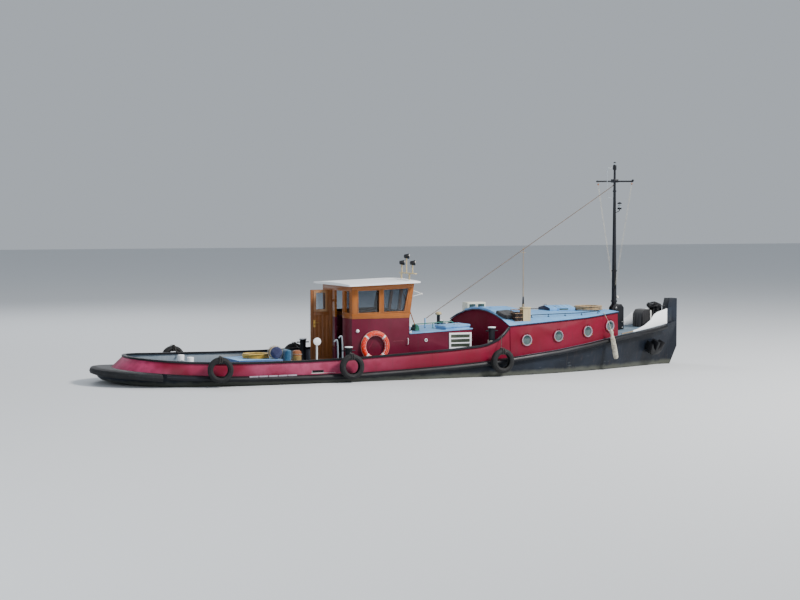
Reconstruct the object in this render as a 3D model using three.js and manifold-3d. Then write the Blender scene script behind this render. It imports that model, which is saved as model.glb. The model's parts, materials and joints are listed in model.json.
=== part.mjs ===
// Small steel harbour tugboat with a raised fore cabin, a varnished wheelhouse and a folding mast.
// Millimetres. +X points to the bow, +Y to port, +Z up.
// The origin lies on the centreline amidships, at the waterline the boat floats at.

import * as THREE from 'three';
import { mergeVertices } from 'three/addons/utils/BufferGeometryUtils.js';
import Module from 'manifold-3d';

const wasm = await Module();
wasm.setup();

// Driving dimensions
const GAP = 0.3;                 // left between pieces that touch
const SKIN = 60;                 // how far a piece reaches into its carrier before it is trimmed
const SIDE = { starboard: -1, port: 1 };

const HALF_BEAM = 1850;
const STERN = { start: -4500, reach: 3350, power: 2.3 };      // plan of the round stern
const BOW = { start: 1000, reach: 6850, power: 2.1, ease: 0.85 }; // plan of the bow
const STEM = { aft: 7600, face: 7885, halfWidth: 140, foot: 480, top: 1750 };

const BULWARK = { thickness: 30, halfTop: 1775, halfBase: 1815, reachTop: 2675, reachBase: 3030 };
const RAIL = { width: 95, height: 45 };
const STRAKE = { radius: 62, proud: 105 };
const FENDER = { height: 170, proud: 160 };

const CABIN = { aft: 2110, front: 5520, tumblehome: 35, inset: 25, roof: 25, overhang: 28 };
const PORTHOLE = { outer: 170, glass: 118, proud: 24, depth: 12, root: 60 };

const HOUSE = { aft: -1800, front: -280, half: 1000, wall: 50, foot: 150, sill: 1450, rake: 125 };
const HOUSE_TOP = { aft: 2255, front: 2313 };
const ROOF = { aft: -1960, front: -90, half: 1250, edge: 40, camber: 36 };
const DOORWAY = { starboard: -370, port: 160, foot: 300, head: 2120 };
const DOOR = { hinge: [-1832, 200], width: 600, foot: 330, head: 2130, thickness: 40, hook: 36 };

const CASING = { aft: -279.7, front: 1420, half: 1000, wall: 40, topAft: 1050, topFront: 1130, plate: 25 };
const HATCH = { aft: 740, front: 1380, starboard: -930, port: -290, coaming: 45, rim: 30, lid: 55 };

const MAST = { x: 6040, pivot: 1520, foot: 1130, top: 5280, base: 75, tip: 28, yard: 4870, yardHalf: 950 };
const PIVOT = { pin: 20, hole: 20.8 };

const SHAFT = { height: -760, radius: 50, bore: 50.9, tubeEnd: -5650, bossRadius: 110 };
const PROPELLER = { x: -5950, radius: 470, hub: 95, length: 190, blades: 4 };
const RUDDER = { x: -6850, top: -190, foot: -1270, aft: 560, fore: 130, thickness: 70, stock: 42 };
const KEEL = { bottom: -1380, half: 45, forefoot: 6500, heelEnd: -6960, shoe: 90 };

const WHEEL = { x: -800, z: 1180, radius: 300, rim: 17 };

// Finishes, each with its colour, roughness and metalness
const FINISHES = {
  crimson: [0xa01f38, 0.4, 0.1],
  maroon: [0x4f1524, 0.45, 0.1],
  black: [0x1b1d1f, 0.55, 0.1],
  charcoal: [0x2b2d2f, 0.6, 0.1],
  deckBlue: [0x9db9c8, 0.6, 0.05],
  white: [0xe8e8e4, 0.45, 0.05],
  wood: [0x9a5a22, 0.35, 0.0],
  glass: [0x33454a, 0.08, 0.0],
  rubber: [0x17181a, 0.85, 0.0],
  orange: [0xe2521c, 0.5, 0.0],
  grey: [0x6f757a, 0.5, 0.3],
  bronze: [0x9c7a3c, 0.35, 0.9],
  canvas: [0x16181a, 0.9, 0.0],
  yellowRope: [0xc9a23a, 0.9, 0.0],
  brownRope: [0x6d4a31, 0.9, 0.0],
  tanRope: [0x9a7f5c, 0.9, 0.0],
};

const boat = new THREE.Group();

function add(name, geometry, finish) {
  const [color, roughness, metalness] = FINISHES[finish];
  const material = new THREE.MeshStandardMaterial({ color, roughness, metalness });
  const mesh = new THREE.Mesh(weld(geometry), material);
  mesh.name = name;
  boat.add(mesh);
  return mesh;
}

// Solids: welding, joining and cutting

function signedVolume(position, index) {
  const a = new THREE.Vector3();
  const b = new THREE.Vector3();
  const c = new THREE.Vector3();
  let total = 0;
  for (let i = 0; i < index.length; i += 3) {
    a.fromBufferAttribute(position, index[i]);
    b.fromBufferAttribute(position, index[i + 1]);
    c.fromBufferAttribute(position, index[i + 2]);
    total += a.dot(b.cross(c));
  }
  return total / 6;
}

function weld(geometry) {
  const bare = geometry.index ? geometry.toNonIndexed() : geometry.clone();
  for (const name of Object.keys(bare.attributes)) {
    if (name !== 'position') bare.deleteAttribute(name);
  }
  const merged = mergeVertices(bare, 1e-3);
  const index = merged.index.array;
  const kept = [];
  for (let i = 0; i < index.length; i += 3) {
    const [a, b, c] = [index[i], index[i + 1], index[i + 2]];
    if (a !== b && b !== c && c !== a) kept.push(a, b, c);
  }
  if (signedVolume(merged.attributes.position, kept) < 0) kept.reverse();
  merged.setIndex(kept);
  return merged;
}

function toSolid(geometry) {
  const closed = weld(geometry);
  return new wasm.Manifold(new wasm.Mesh({
    numProp: 3,
    vertProperties: new Float32Array(closed.attributes.position.array),
    triVerts: new Uint32Array(closed.index.array),
  }));
}

function toGeometry(solid) {
  const mesh = solid.getMesh();
  const geometry = new THREE.BufferGeometry();
  geometry.setAttribute('position', new THREE.BufferAttribute(mesh.vertProperties, mesh.numProp));
  geometry.setIndex(Array.from(mesh.triVerts));
  return geometry;
}

function join(first, ...others) {
  return toGeometry(others.reduce((solid, next) => solid.add(toSolid(next)), toSolid(first)));
}

function cut(first, ...tools) {
  return toGeometry(tools.reduce((solid, tool) => solid.subtract(toSolid(tool)), toSolid(first)));
}

function moved(geometry, x, y, z) {
  return geometry.clone().translate(x, y, z);
}

function mirrored(geometry) {
  return geometry.clone().scale(1, -1, 1);
}

// Trims the underside of a piece to its carrier's top surface
function seated(piece, carrier) {
  return cut(piece, moved(carrier, 0, 0, GAP));
}

// Basic shapes

function box(x0, x1, y0, y1, z0, z1) {
  const shape = new THREE.BoxGeometry(Math.abs(x1 - x0), Math.abs(y1 - y0), Math.abs(z1 - z0));
  return shape.translate((x0 + x1) / 2, (y0 + y1) / 2, (z0 + z1) / 2);
}

// A round bar between two points, with its radius at each end
function bar(from, to, radius, endRadius = radius, sides = 12) {
  const start = new THREE.Vector3(...from);
  const along = new THREE.Vector3(...to).sub(start);
  const shape = new THREE.CylinderGeometry(endRadius, radius, along.length(), sides);
  shape.translate(0, along.length() / 2, 0);
  const up = new THREE.Vector3(0, 1, 0);
  const turn = new THREE.Quaternion().setFromUnitVectors(up, along.clone().normalize());
  return shape.applyQuaternion(turn).translate(start.x, start.y, start.z);
}

// A body turned about the Z axis from [radius, height] pairs
function turned(profile, sides = 24) {
  const points = profile.map(([radius, height]) => new THREE.Vector2(radius, height));
  return new THREE.LatheGeometry(points, sides).rotateX(Math.PI / 2);
}

// A ring of round section about the Z axis
function ring(middle, radius, around = 24, sides = 8, squash = 1) {
  const profile = [];
  for (let i = 0; i <= sides; i += 1) {
    const angle = (2 * Math.PI * i) / sides;
    profile.push([middle + radius * Math.cos(angle), squash * radius * Math.sin(angle)]);
  }
  return turned(profile, around);
}

// A flat outline in the XZ plane, given its thickness between two values of y
function plateXZ(outline, y0, y1) {
  const shape = new THREE.Shape(outline.map(([x, z]) => new THREE.Vector2(x, z)));
  const plate = new THREE.ExtrudeGeometry(shape, { depth: Math.abs(y1 - y0), bevelEnabled: false });
  return plate.rotateX(Math.PI / 2).translate(0, Math.max(y0, y1), 0);
}

// A flat outline in the YZ plane, given its thickness between two values of x
function plateYZ(outline, x0, x1) {
  const shape = new THREE.Shape(outline.map(([y, z]) => new THREE.Vector2(y, z)));
  const plate = new THREE.ExtrudeGeometry(shape, { depth: Math.abs(x1 - x0), bevelEnabled: false });
  return plate.rotateX(Math.PI / 2).rotateZ(Math.PI / 2).translate(Math.min(x0, x1), 0, 0);
}

// A closed body through rings of [x, y, z] points, all with the same number of points
function loft(rings) {
  const count = rings[0].length;
  const positions = rings.flat(2);
  const index = [];
  for (let r = 0; r + 1 < rings.length; r += 1) {
    for (let i = 0; i < count; i += 1) {
      const next = (i + 1) % count;
      const [a, b] = [r * count + i, r * count + next];
      index.push(a, b, b + count, a, b + count, a + count);
    }
  }
  capFaces(rings[0]).forEach(([a, b, c]) => index.push(c, b, a));
  const last = (rings.length - 1) * count;
  capFaces(rings[rings.length - 1]).forEach(([a, b, c]) => index.push(last + a, last + b, last + c));
  const geometry = new THREE.BufferGeometry();
  geometry.setAttribute('position', new THREE.Float32BufferAttribute(positions, 3));
  geometry.setIndex(index);
  return geometry;
}

// Triangles over a ring's end, turned the way the ring runs
function capFaces(points) {
  const corners = points.map((point) => new THREE.Vector3(...point));
  const normal = new THREE.Vector3();
  corners.forEach((corner, i) => normal.add(corner.clone().cross(corners[(i + 1) % corners.length])));
  normal.normalize();
  const across = corners[1].clone().sub(corners[0]).normalize();
  const up = normal.clone().cross(across);
  const flat = corners.map((corner) => new THREE.Vector2(corner.dot(across), corner.dot(up)));
  return THREE.ShapeUtils.triangulateShape(flat, []);
}

function range(count) {
  return Array.from({ length: count }, (_, i) => i);
}

// Straight steps between the rows of a short table of [x, value]
function along(table, x) {
  const after = table.findIndex(([position]) => position >= x);
  if (after === 0) return table[0][1];
  if (after < 0) return table[table.length - 1][1];
  const [[x0, v0], [x1, v1]] = [table[after - 1], table[after]];
  return v0 + ((v1 - v0) * (x - x0)) / (x1 - x0);
}

// Hull

// Columns: x, height of the deck edge
const SHEER = [
  [-7840, 400], [-7240, 355], [-6200, 285], [-5200, 240], [-4500, 225], [-3200, 212], [-1800, 222],
  [-700, 265], [500, 325], [1300, 380], [2100, 460], [3500, 600], [4500, 730], [5500, 870],
  [6100, 935], [6800, 1020], [7200, 1080], [7600, 1140],
];

// Columns: x, bottom height, half width at the turn, height of the turn, fullness,
// stem rake per metre of height
const HULL = [
  [-7840, 170, 190, 290, 2.0, 0], [-7740, 100, 480, 250, 2.0, 0], [-7500, 30, 820, 190, 2.0, 0],
  [-7100, -50, 1130, 110, 2.0, 0], [-6600, -110, 1380, 40, 2.0, 0], [-6000, -190, 1580, 0, 2.0, 0],
  [-5200, -430, 1730, 0, 1.8, 0], [-4500, -820, 1800, 0, 1.9, 0], [-3200, -1120, 1830, 0, 2.3, 0],
  [-1800, -1190, 1840, 0, 2.8, 0], [-700, -1190, 1840, 0, 3.0, 0], [500, -1190, 1840, 0, 3.0, 0],
  [1300, -1190, 1830, 0, 2.8, 0], [2100, -1180, 1780, 0, 2.6, 0], [2800, -1170, 1700, 0, 2.4, 0],
  [3500, -1150, 1570, 0, 2.2, 0], [4500, -1090, 1300, 0, 1.9, 0], [5500, -980, 930, 0, 1.6, 0],
  [6100, -880, 680, 0, 1.5, 20], [6800, -680, 360, 0, 1.4, 60], [7200, -480, 190, 0, 1.3, 120],
  [7600, -180, 55, 0, 1.2, 200],
];
const TURN_STEPS = 6;

function planHalf(x) {
  if (x < STERN.start) {
    const part = Math.min(1, (STERN.start - x) / STERN.reach);
    return HALF_BEAM * (1 - part ** STERN.power) ** (1 / STERN.power);
  }
  const part = Math.max(0, (x - BOW.start) / BOW.reach);
  return HALF_BEAM * (1 - part ** BOW.power) ** BOW.ease;
}

// The hull's own deck edge. Columns: x, half width, height
const DECK_EDGE = HULL.map(([x, , , , , rake]) => {
  const height = along(SHEER, x);
  return [x + (rake * height) / 1000, planHalf(x), height];
});

function deckHalf(x) {
  return along(DECK_EDGE.map(([place, half]) => [place, half]), x);
}

function deckHeight(x) {
  return along(DECK_EDGE.map(([place, , height]) => [place, height]), x);
}

function hullSection([x, bottom, turnHalf, turn, fullness, rake]) {
  const half = [[0, bottom]];
  for (let i = 1; i <= TURN_STEPS; i += 1) {
    const angle = (Math.PI / 2) * (i / TURN_STEPS);
    const across = turnHalf * Math.sin(angle) ** (2 / fullness);
    half.push([across, turn - (turn - bottom) * Math.cos(angle) ** (2 / fullness)]);
  }
  half.push([planHalf(x), along(SHEER, x)]);
  const starboard = half.map(([across, z]) => [x + (rake * z) / 1000, -across, z]);
  const port = half.slice(1).reverse().map(([across, z]) => [x + (rake * z) / 1000, across, z]);
  return [...starboard, ...port];
}

const hullLoft = loft(HULL.map(hullSection));

function keelAndSkeg() {
  const outline = [
    [KEEL.forefoot, KEEL.bottom + 330], [KEEL.forefoot - 700, KEEL.bottom], [KEEL.heelEnd, KEEL.bottom],
    [KEEL.heelEnd, KEEL.bottom + KEEL.shoe], [SHAFT.tubeEnd - 40, KEEL.bottom + KEEL.shoe],
    [SHAFT.tubeEnd, KEEL.bottom + 2 * KEEL.shoe], [SHAFT.tubeEnd, -200], [-4600, -600], [-3300, -900],
    [5000, -900], [KEEL.forefoot + 150, -600],
  ];
  const [rear, front] = [SHAFT.tubeEnd - SKIN, -4300];
  const tube = bar([rear, 0, SHAFT.height], [front, 0, SHAFT.height], SHAFT.bossRadius, 80, 20);
  return join(plateXZ(outline, -KEEL.half, KEEL.half), tube);
}

function stemPost() {
  const outline = [
    [STEM.aft, 1000], [STEM.aft, STEM.top - 240], [STEM.aft + 60, STEM.top], [STEM.face, STEM.top],
    [STEM.face, STEM.foot], [7640, -60], [7300, -60],
  ];
  return plateXZ(outline, -STEM.halfWidth, STEM.halfWidth);
}

function hull() {
  const stock = RUDDER.stock + 0.9;
  const rudderTube = bar([RUDDER.x, 0, -400], [RUDDER.x, 0, 100], stock, stock, 24);
  const shaftTube = bar([-6050, 0, SHAFT.height], [-4900, 0, SHAFT.height], SHAFT.bore, SHAFT.bore, 24);
  return cut(join(hullLoft, keelAndSkeg(), stemPost()), rudderTube, shaftTube);
}
add('hull', hull(), 'charcoal');

// Bands that follow the deck edge in plan, from the starboard bow round the stern to the port bow.
// Each station has a point and the direction straight out from the boat.
function outlineStations(points) {
  return points.map(([x, y], i) => {
    const [x0, y0] = points[Math.max(0, i - 1)];
    const [x1, y1] = points[Math.min(points.length - 1, i + 1)];
    const length = Math.hypot(x1 - x0, y1 - y0);
    return { x, y, outX: -(y1 - y0) / length, outY: (x1 - x0) / length };
  });
}

// Sweeps a section of [distance out, height] pairs along stations.
// sectionAt gives the section at each station.
function band(stations, sectionAt) {
  return loft(stations.map((station) => sectionAt(station).map(([out, z]) => [
    station.x + out * station.outX, station.y + out * station.outY, z,
  ])));
}

function deckEdge(side, from, to) {
  const edge = DECK_EDGE.filter(([x]) => x >= from && x <= to).map(([x, half]) => [x, side * half]);
  return side < 0 ? edge.reverse() : edge;
}

function strakeSection(station) {
  const centre = deckHeight(station.x) - STRAKE.radius - 4;
  const arc = range(5).map((i) => (Math.PI * (i / 4 - 0.5)));
  const nose = arc.map((angle) => [
    STRAKE.proud - STRAKE.radius * (1 - Math.cos(angle)), centre + STRAKE.radius * Math.sin(angle),
  ]);
  return [[-SKIN, centre - STRAKE.radius], ...nose, [-SKIN, centre + STRAKE.radius]];
}

function strake(side) {
  const stations = outlineStations(deckEdge(side, -6700, 7400));
  return cut(band(stations, strakeSection), moved(hullLoft, 0, side * 2 * GAP, 0));
}
add('rubbing_strake_starboard', strake(SIDE.starboard), 'black');
add('rubbing_strake_port', strake(SIDE.port), 'black');

function sternFender() {
  const points = [...deckEdge(SIDE.starboard, -7840, -6500), ...deckEdge(SIDE.port, -7840, -6500)];
  const section = (station) => {
    const middle = deckHeight(station.x) - FENDER.height / 2 - 2;
    const radius = FENDER.height / 2;
    const arc = range(5).map((i) => Math.PI * (i / 4 - 0.5)).map((angle) => [
      FENDER.proud - radius * (1 - Math.cos(angle)), middle + radius * Math.sin(angle),
    ]);
    return [[-SKIN / 3, middle - radius], ...arc, [-SKIN / 3, middle + radius]];
  };
  const ahead = box(-6720, -6000, -2500, 2500, -500, 900);
  const hulls = [[-GAP, 0], [0, -2 * GAP], [0, 2 * GAP]].map(([x, y]) => moved(hullLoft, x, y, 0));
  return cut(band(outlineStations(points), section), ahead, ...hulls);
}
add('stern_fender', sternFender(), 'rubber');

// Bulwark and rail

// Columns: x, height of the rail's top
const RAIL_TOP = [
  [-7260, 660], [-6200, 590], [-5100, 560], [-3700, 542], [-2300, 578], [-1400, 610], [-100, 680],
  [1150, 752], [1500, 815], [1800, 930], [1950, 1045], [CABIN.aft, 1217],
];
const SIDE_STATIONS = [2109, 1950, 1800, 1500, 1300, 500, -700, -1800, -3200, -4500];
const STERN_ANGLES = [18, 33, 46, 58, 69, 80, 90];

function mirrorPoints(points) {
  return points.map(([x, y]) => [x, -y]);
}

function bulwarkOutline(half, reach) {
  const side = SIDE_STATIONS.map((x) => [x, -Math.min(half, deckHalf(x) - (HALF_BEAM - half))]);
  const stern = STERN_ANGLES.map((degrees) => {
    const angle = THREE.MathUtils.degToRad(degrees);
    const power = 2 / STERN.power;
    return [STERN.start - reach * Math.sin(angle) ** power, -half * Math.max(0, Math.cos(angle)) ** power];
  });
  const starboard = [...side, ...stern];
  return [...starboard, ...mirrorPoints(starboard.slice(0, -1)).reverse()];
}

const bulwarkBase = outlineStations(bulwarkOutline(BULWARK.halfBase, BULWARK.reachBase));
const bulwarkTop = outlineStations(bulwarkOutline(BULWARK.halfTop, BULWARK.reachTop));

const FREEING_PORT = { x: -2985, half: 150, foot: 235, head: 310 };

function bulwark() {
  const at = ({ x, y, outX, outY }, inward, z) => [x - inward * outX, y - inward * outY, z];
  const rings = bulwarkBase.map((base, i) => {
    const top = bulwarkTop[i];
    const low = deckHeight(base.x) - SKIN;
    const high = along(RAIL_TOP, top.x) - RAIL.height / 2;
    const inner = BULWARK.thickness;
    return [at(base, 0, low), at(top, 0, high), at(top, inner, high), at(base, inner, low)];
  });
  const { x, half, foot, head } = FREEING_PORT;
  const ports = box(x - half, x + half, -2100, 2100, foot, head);
  return cut(seated(loft(rings), hullLoft), moved(railCap(), 0, 0, -GAP), ports);
}

function railCap() {
  const [inner, outer] = [-(RAIL.width + BULWARK.thickness) / 2, (RAIL.width - BULWARK.thickness) / 2];
  return band(bulwarkTop, (station) => {
    const top = along(RAIL_TOP, station.x);
    return [[inner, top - RAIL.height], [outer, top - RAIL.height], [outer, top], [inner, top]];
  });
}
add('bulwark', bulwark(), 'crimson');
add('rail_cap', railCap(), 'black');

// Columns: x, height of the bow bulwark's top
const BOW_TOP = [
  [6090, 975], [6300, 1010], [6550, 1090], [6780, 1210], [6920, 1350], [7050, 1410], [7450, 1490],
  [7650, 1520],
];
const BOW_INSET = 30;

function bowBulwark() {
  const points = BOW_TOP.map(([x]) => [x, -deckHalf(x) + BOW_INSET]).reverse();
  const wall = band(outlineStations(points), (station) => {
    const [low, high] = [deckHeight(station.x) - SKIN, along(BOW_TOP, station.x)];
    return [[0, low], [0, high], [-BULWARK.thickness, high], [-BULWARK.thickness, low]];
  });
  return cut(seated(wall, hullLoft), moved(stemPost(), -GAP, -GAP, 0), moved(stemPost(), -GAP, 0, 0));
}
for (const [name, side] of Object.entries(SIDE)) {
  const piece = bowBulwark();
  add(`bow_bulwark_${name}`, side < 0 ? piece : mirrored(piece), 'white');
}

// Fore cabin

// Columns: x, height of the roof edge, rise of the roof at the middle
const CABIN_ROOF = [
  [2110, 1217, 335], [2800, 1262, 258], [3500, 1301, 192], [4500, 1356, 114], [5520, 1464, 25],
];
const ARCH_STEPS = 8;

function cabinHalf(x) {
  return deckHalf(x) - CABIN.inset;
}

function roofArch([x, edge, rise], half, lift) {
  return range(ARCH_STEPS + 1).map((i) => {
    const part = (2 * i) / ARCH_STEPS - 1;
    return [x, part * half, edge + lift + rise * (1 - part * part)];
  });
}

function cabinSection(row) {
  const [x] = row;
  const base = deckHeight(x) - SKIN;
  const half = cabinHalf(x);
  return [[x, half, base], [x, -half, base], ...roofArch(row, half - CABIN.tumblehome, 0)];
}

// Columns: x, height of the porthole's centre
const PORTHOLES = [[2580, 870], [3530, 940], [4470, 1020], [5230, 1130]];

// A round bar set square to the cabin's side, from a depth inside it to a distance outside
function portholeBar([x, z], side, radius, inside, outside) {
  const slope = Math.atan((cabinHalf(x - 100) - cabinHalf(x + 100)) / 200);
  const out = [Math.sin(slope), side * Math.cos(slope)];
  const y = side * (cabinHalf(x) - CABIN.tumblehome * 0.6);
  const from = [x - inside * out[0], y - inside * out[1], z];
  return bar(from, [x + outside * out[0], y + outside * out[1], z], radius, radius, 16);
}

function foreCabin() {
  const sides = Object.values(SIDE);
  const { outer, glass, root, proud, depth } = PORTHOLE;
  const rims = sides.flatMap((side) => PORTHOLES.map((row) => portholeBar(row, side, outer, root, proud)));
  const eyes = sides.flatMap((side) => PORTHOLES.map((row) => portholeBar(row, side, glass, -depth, 80)));
  return seated(cut(join(loft(CABIN_ROOF.map(cabinSection)), ...rims), ...eyes), hullLoft);
}
add('fore_cabin', foreCabin(), 'crimson');

function cabinRoof() {
  const last = CABIN_ROOF.length - 1;
  return loft(CABIN_ROOF.map(([x, edge, rise], i) => {
    const overhang = { 0: -CABIN.overhang, [last]: CABIN.overhang }[i] ?? 0;
    const half = cabinHalf(x) - CABIN.tumblehome + CABIN.overhang;
    const row = [x + overhang, edge, rise];
    return [...roofArch(row, half, GAP), ...roofArch(row, half, GAP + CABIN.roof).reverse()];
  }));
}
const cabinShape = foreCabin();
const cabinRoofShape = cabinRoof();
add('fore_cabin_roof', cut(cabinRoofShape, moved(cabinShape, 0, 0, GAP)), 'deckBlue');

// Engine casing

function casingTop(x) {
  const { aft, front, topAft, topFront } = CASING;
  return topAft + ((topFront - topAft) * (x - aft)) / (front - aft);
}

function casingProfile(inset, foot, lift) {
  const [aft, front] = [CASING.aft + inset, CASING.front - inset];
  return [[aft, foot], [front, foot], [front, casingTop(front) + lift], [aft, casingTop(aft) + lift]];
}

const LOUVRE = { aft: 790, front: 1400, foot: 650, head: 1050, border: 45, depth: 22, slats: 2, slat: 30 };

function engineCasing() {
  const outer = plateXZ(casingProfile(0, HOUSE.foot, 0), -CASING.half, CASING.half);
  const room = CASING.half - CASING.wall;
  const inner = plateXZ(casingProfile(CASING.wall, 0, 200), -room, room);
  const grille = box(
    LOUVRE.aft + LOUVRE.border, LOUVRE.front - LOUVRE.border, -1100, 1100,
    LOUVRE.foot + LOUVRE.border, LOUVRE.head - LOUVRE.border,
  );
  return seated(cut(outer, inner, grille), hullLoft);
}
add('engine_casing', engineCasing(), 'maroon');

function louvre(side) {
  const { aft, front, foot, head, border, depth, slats, slat } = LOUVRE;
  const inner = side * (CASING.half + GAP);
  const frame = box(aft, front, inner, inner + side * depth, foot, head);
  const slot = (head - foot - 2 * border - slats * slat) / (slats + 1);
  const slots = range(slats + 1).map((i) => {
    const low = foot + border + i * (slot + slat);
    return box(aft + border, front - border, side * 900, side * 1100, low, low + slot);
  });
  return cut(frame, ...slots);
}
for (const [name, side] of Object.entries(SIDE)) add(`louvre_${name}`, louvre(side), 'white');

const ENGINE = { aft: -60, front: 1300, half: 380, top: 900 };
const engine = box(ENGINE.aft, ENGINE.front, -ENGINE.half, ENGINE.half, HOUSE.foot, ENGINE.top);
add('engine_block', seated(engine, hullLoft), 'grey');

const STAY_POST = { x: 580, radius: 22, top: 1370 };

// A plate over the casing from one x to another, between two heights above its sloping top
function overCasing(x0, x1, y0, y1, low, high) {
  const [a, b] = [casingTop(x0), casingTop(x1)];
  return plateXZ([[x0, a + low], [x1, b + low], [x1, b + high], [x0, a + high]], y0, y1);
}

function casingRoof() {
  const lift = GAP + CASING.plate;
  const edge = 15;
  const side = CASING.half + edge;
  const plate = overCasing(CASING.aft + GAP, CASING.front + edge, -side, side, GAP, lift);
  const { aft, front, starboard, port, rim, coaming } = HATCH;
  const frame = overCasing(aft, front, starboard, port, 5, lift + coaming);
  const way = box(aft + rim, front - rim, starboard + rim, port - rim, 900, 1400);
  const { x, radius, top } = STAY_POST;
  const post = bar([x, 0, casingTop(x) + 5], [x, 0, top], radius);
  return join(cut(join(plate, frame), way), post);
}
add('casing_roof', casingRoof(), 'deckBlue');

// Height of the hatch lid's underside
function lidBase(x) {
  return casingTop(x) + GAP + CASING.plate + HATCH.coaming + GAP;
}

function hatchLid() {
  const [aft, front, lip] = [HATCH.aft - 20, HATCH.front + 20, 15];
  const [low, high] = [lidBase(aft), lidBase(front)];
  const outline = [
    [aft, low], [front, high], [front, high + HATCH.lid - lip], [front - lip, high + HATCH.lid],
    [aft + lip, low + HATCH.lid], [aft, low + HATCH.lid - lip],
  ];
  return plateXZ(outline, HATCH.starboard - 20, HATCH.port);
}
add('casing_hatch_lid', hatchLid(), 'deckBlue');

// Vent with a mushroom cap
const VENT = { x: 950, radius: 42, cap: 82, top: 1530, capHeight: 90 };

function mushroomVent() {
  const foot = casingTop(VENT.x) + 12;
  const profile = [
    [0, foot], [VENT.radius + 25, foot], [VENT.radius + 25, foot + 65], [VENT.radius, foot + 75],
    [VENT.radius, VENT.top - VENT.capHeight], [VENT.cap, VENT.top - VENT.capHeight + 15],
    [VENT.cap, VENT.top - 40], [VENT.cap * 0.6, VENT.top - 8], [0, VENT.top],
  ];
  return seated(moved(turned(profile, 16), VENT.x, 0, 0), casingRoof());
}
add('vent_mushroom', mushroomVent(), 'black');

// Wheelhouse

function frontWall(z) {
  return HOUSE.front + (HOUSE.rake * (z - HOUSE.sill)) / (HOUSE_TOP.front - HOUSE.sill);
}

function houseTop(x) {
  const length = frontWall(HOUSE_TOP.front) - HOUSE.aft;
  return HOUSE_TOP.aft + ((HOUSE_TOP.front - HOUSE_TOP.aft) * (x - HOUSE.aft)) / length;
}

const { starboard: doorStarboard, port: doorPort, foot: doorFoot, head: doorHead } = DOORWAY;
const doorway = box(HOUSE.aft - 100, HOUSE.aft + 150, doorStarboard, doorPort, doorFoot, doorHead);
const HOOKS = [700, 1850];        // heights of the door's two hinges

function doorHook(z) {
  const [x, y] = DOOR.hinge;
  const arm = box(HOUSE.aft + 20, x - 14, y - 14, y + 14, z - 22, z);
  const pin = bar([x, y, z - 22], [x, y, z + DOOR.hook - 4], 8, 8, 16);
  return join(arm, bar([x, y, z - 22], [x, y, z], 16, 16, 16), pin);
}

function wheelhouseLower() {
  const { aft, front, half, wall, sill } = HOUSE;
  const outer = box(aft, front, -half, half, HOUSE.foot, sill);
  const inner = box(aft + wall, front - wall, wall - half, half - wall, 0, sill + 100);
  return join(seated(cut(outer, inner, doorway), hullLoft), doorHook(HOOKS[0]));
}
add('wheelhouse_lower', wheelhouseLower(), 'maroon');

// Window outlines as [along, height] corners, on both sides, across the front and in the aft wall
const SIDE_WINDOWS = [
  [[-1645, 1590], [-1080, 1602], [-1080, 2152], [-1645, 2140]],
  [[-970, 1605], [-417, 1618], [-293, 2186], [-970, 2158]],
];
const FRONT_WINDOWS = [
  [[-900, 1610], [-345, 1610], [-345, 2165], [-900, 2165]],
  [[-270, 1610], [270, 1610], [270, 2165], [-270, 2165]],
  [[345, 1610], [900, 1610], [900, 2165], [345, 2165]],
];
const AFT_WINDOW = [[-870, 1590], [-520, 1590], [-520, 2130], [-870, 2130]];

function wheelhouseUpper() {
  const { aft, half, wall } = HOUSE;
  const sill = HOUSE.sill + GAP;
  const outline = [
    [aft, sill], [frontWall(sill), sill], [frontWall(HOUSE_TOP.front), HOUSE_TOP.front], [aft, HOUSE_TOP.aft],
  ];
  const room = [
    [aft + wall, sill - 50], [frontWall(sill - 50) - wall, sill - 50],
    [frontWall(2400) - wall, 2400], [aft + wall, 2400],
  ];
  const shell = cut(plateXZ(outline, -half, half), plateXZ(room, wall - half, half - wall));
  const sides = SIDE_WINDOWS.map((window) => plateXZ(window, -1200, 1200));
  const fronts = FRONT_WINDOWS.map((window) => plateYZ(window, -420, 0));
  const afts = [AFT_WINDOW].map((window) => plateYZ(window, aft - 100, aft + wall + 100));
  return join(cut(shell, ...sides, ...fronts, ...afts, doorway), doorHook(HOOKS[1]));
}
add('wheelhouse_upper', wheelhouseUpper(), 'wood');

const GLASS = 8;

function sidePane(side) {
  const inner = HOUSE.half - HOUSE.wall - GAP;
  const outline = [[-1700, 1540], [-370, 1560], [-255, 2210], [-1700, 2180]];
  return plateXZ(outline, side * inner, side * (inner - GLASS));
}
for (const [name, side] of Object.entries(SIDE)) add(`glass_${name}`, sidePane(side), 'glass');

function frontPane() {
  const at = (z) => frontWall(z) - HOUSE.wall - GAP;
  const outline = [[at(1550), 1550], [at(2200), 2200], [at(2200) - GLASS, 2200], [at(1550) - GLASS, 1550]];
  return plateXZ(outline, -925, 925);
}
add('glass_front', frontPane(), 'glass');
const aftPane = HOUSE.aft + HOUSE.wall + GAP;
add('glass_aft', box(aftPane, aftPane + GLASS, -925, -470, 1550, 2170), 'glass');

function wheelhouseRoof() {
  const section = (x) => {
    const base = houseTop(x) + GAP;
    const top = range(9).map((i) => {
      const part = 1 - (2 * i) / 8;
      return [x, part * ROOF.half, base + ROOF.edge + ROOF.camber * (1 - part * part)];
    });
    return [[x, -ROOF.half, base], [x, ROOF.half, base], ...top];
  };
  return loft([section(ROOF.aft), section(ROOF.front)]);
}
add('wheelhouse_roof', wheelhouseRoof(), 'white');

// Door leaf, standing open and pointing aft, with its window cut out
const LEAF_WINDOW = { near: 190, far: 130, foot: 1640, head: 2060, lap: 30 };

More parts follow.
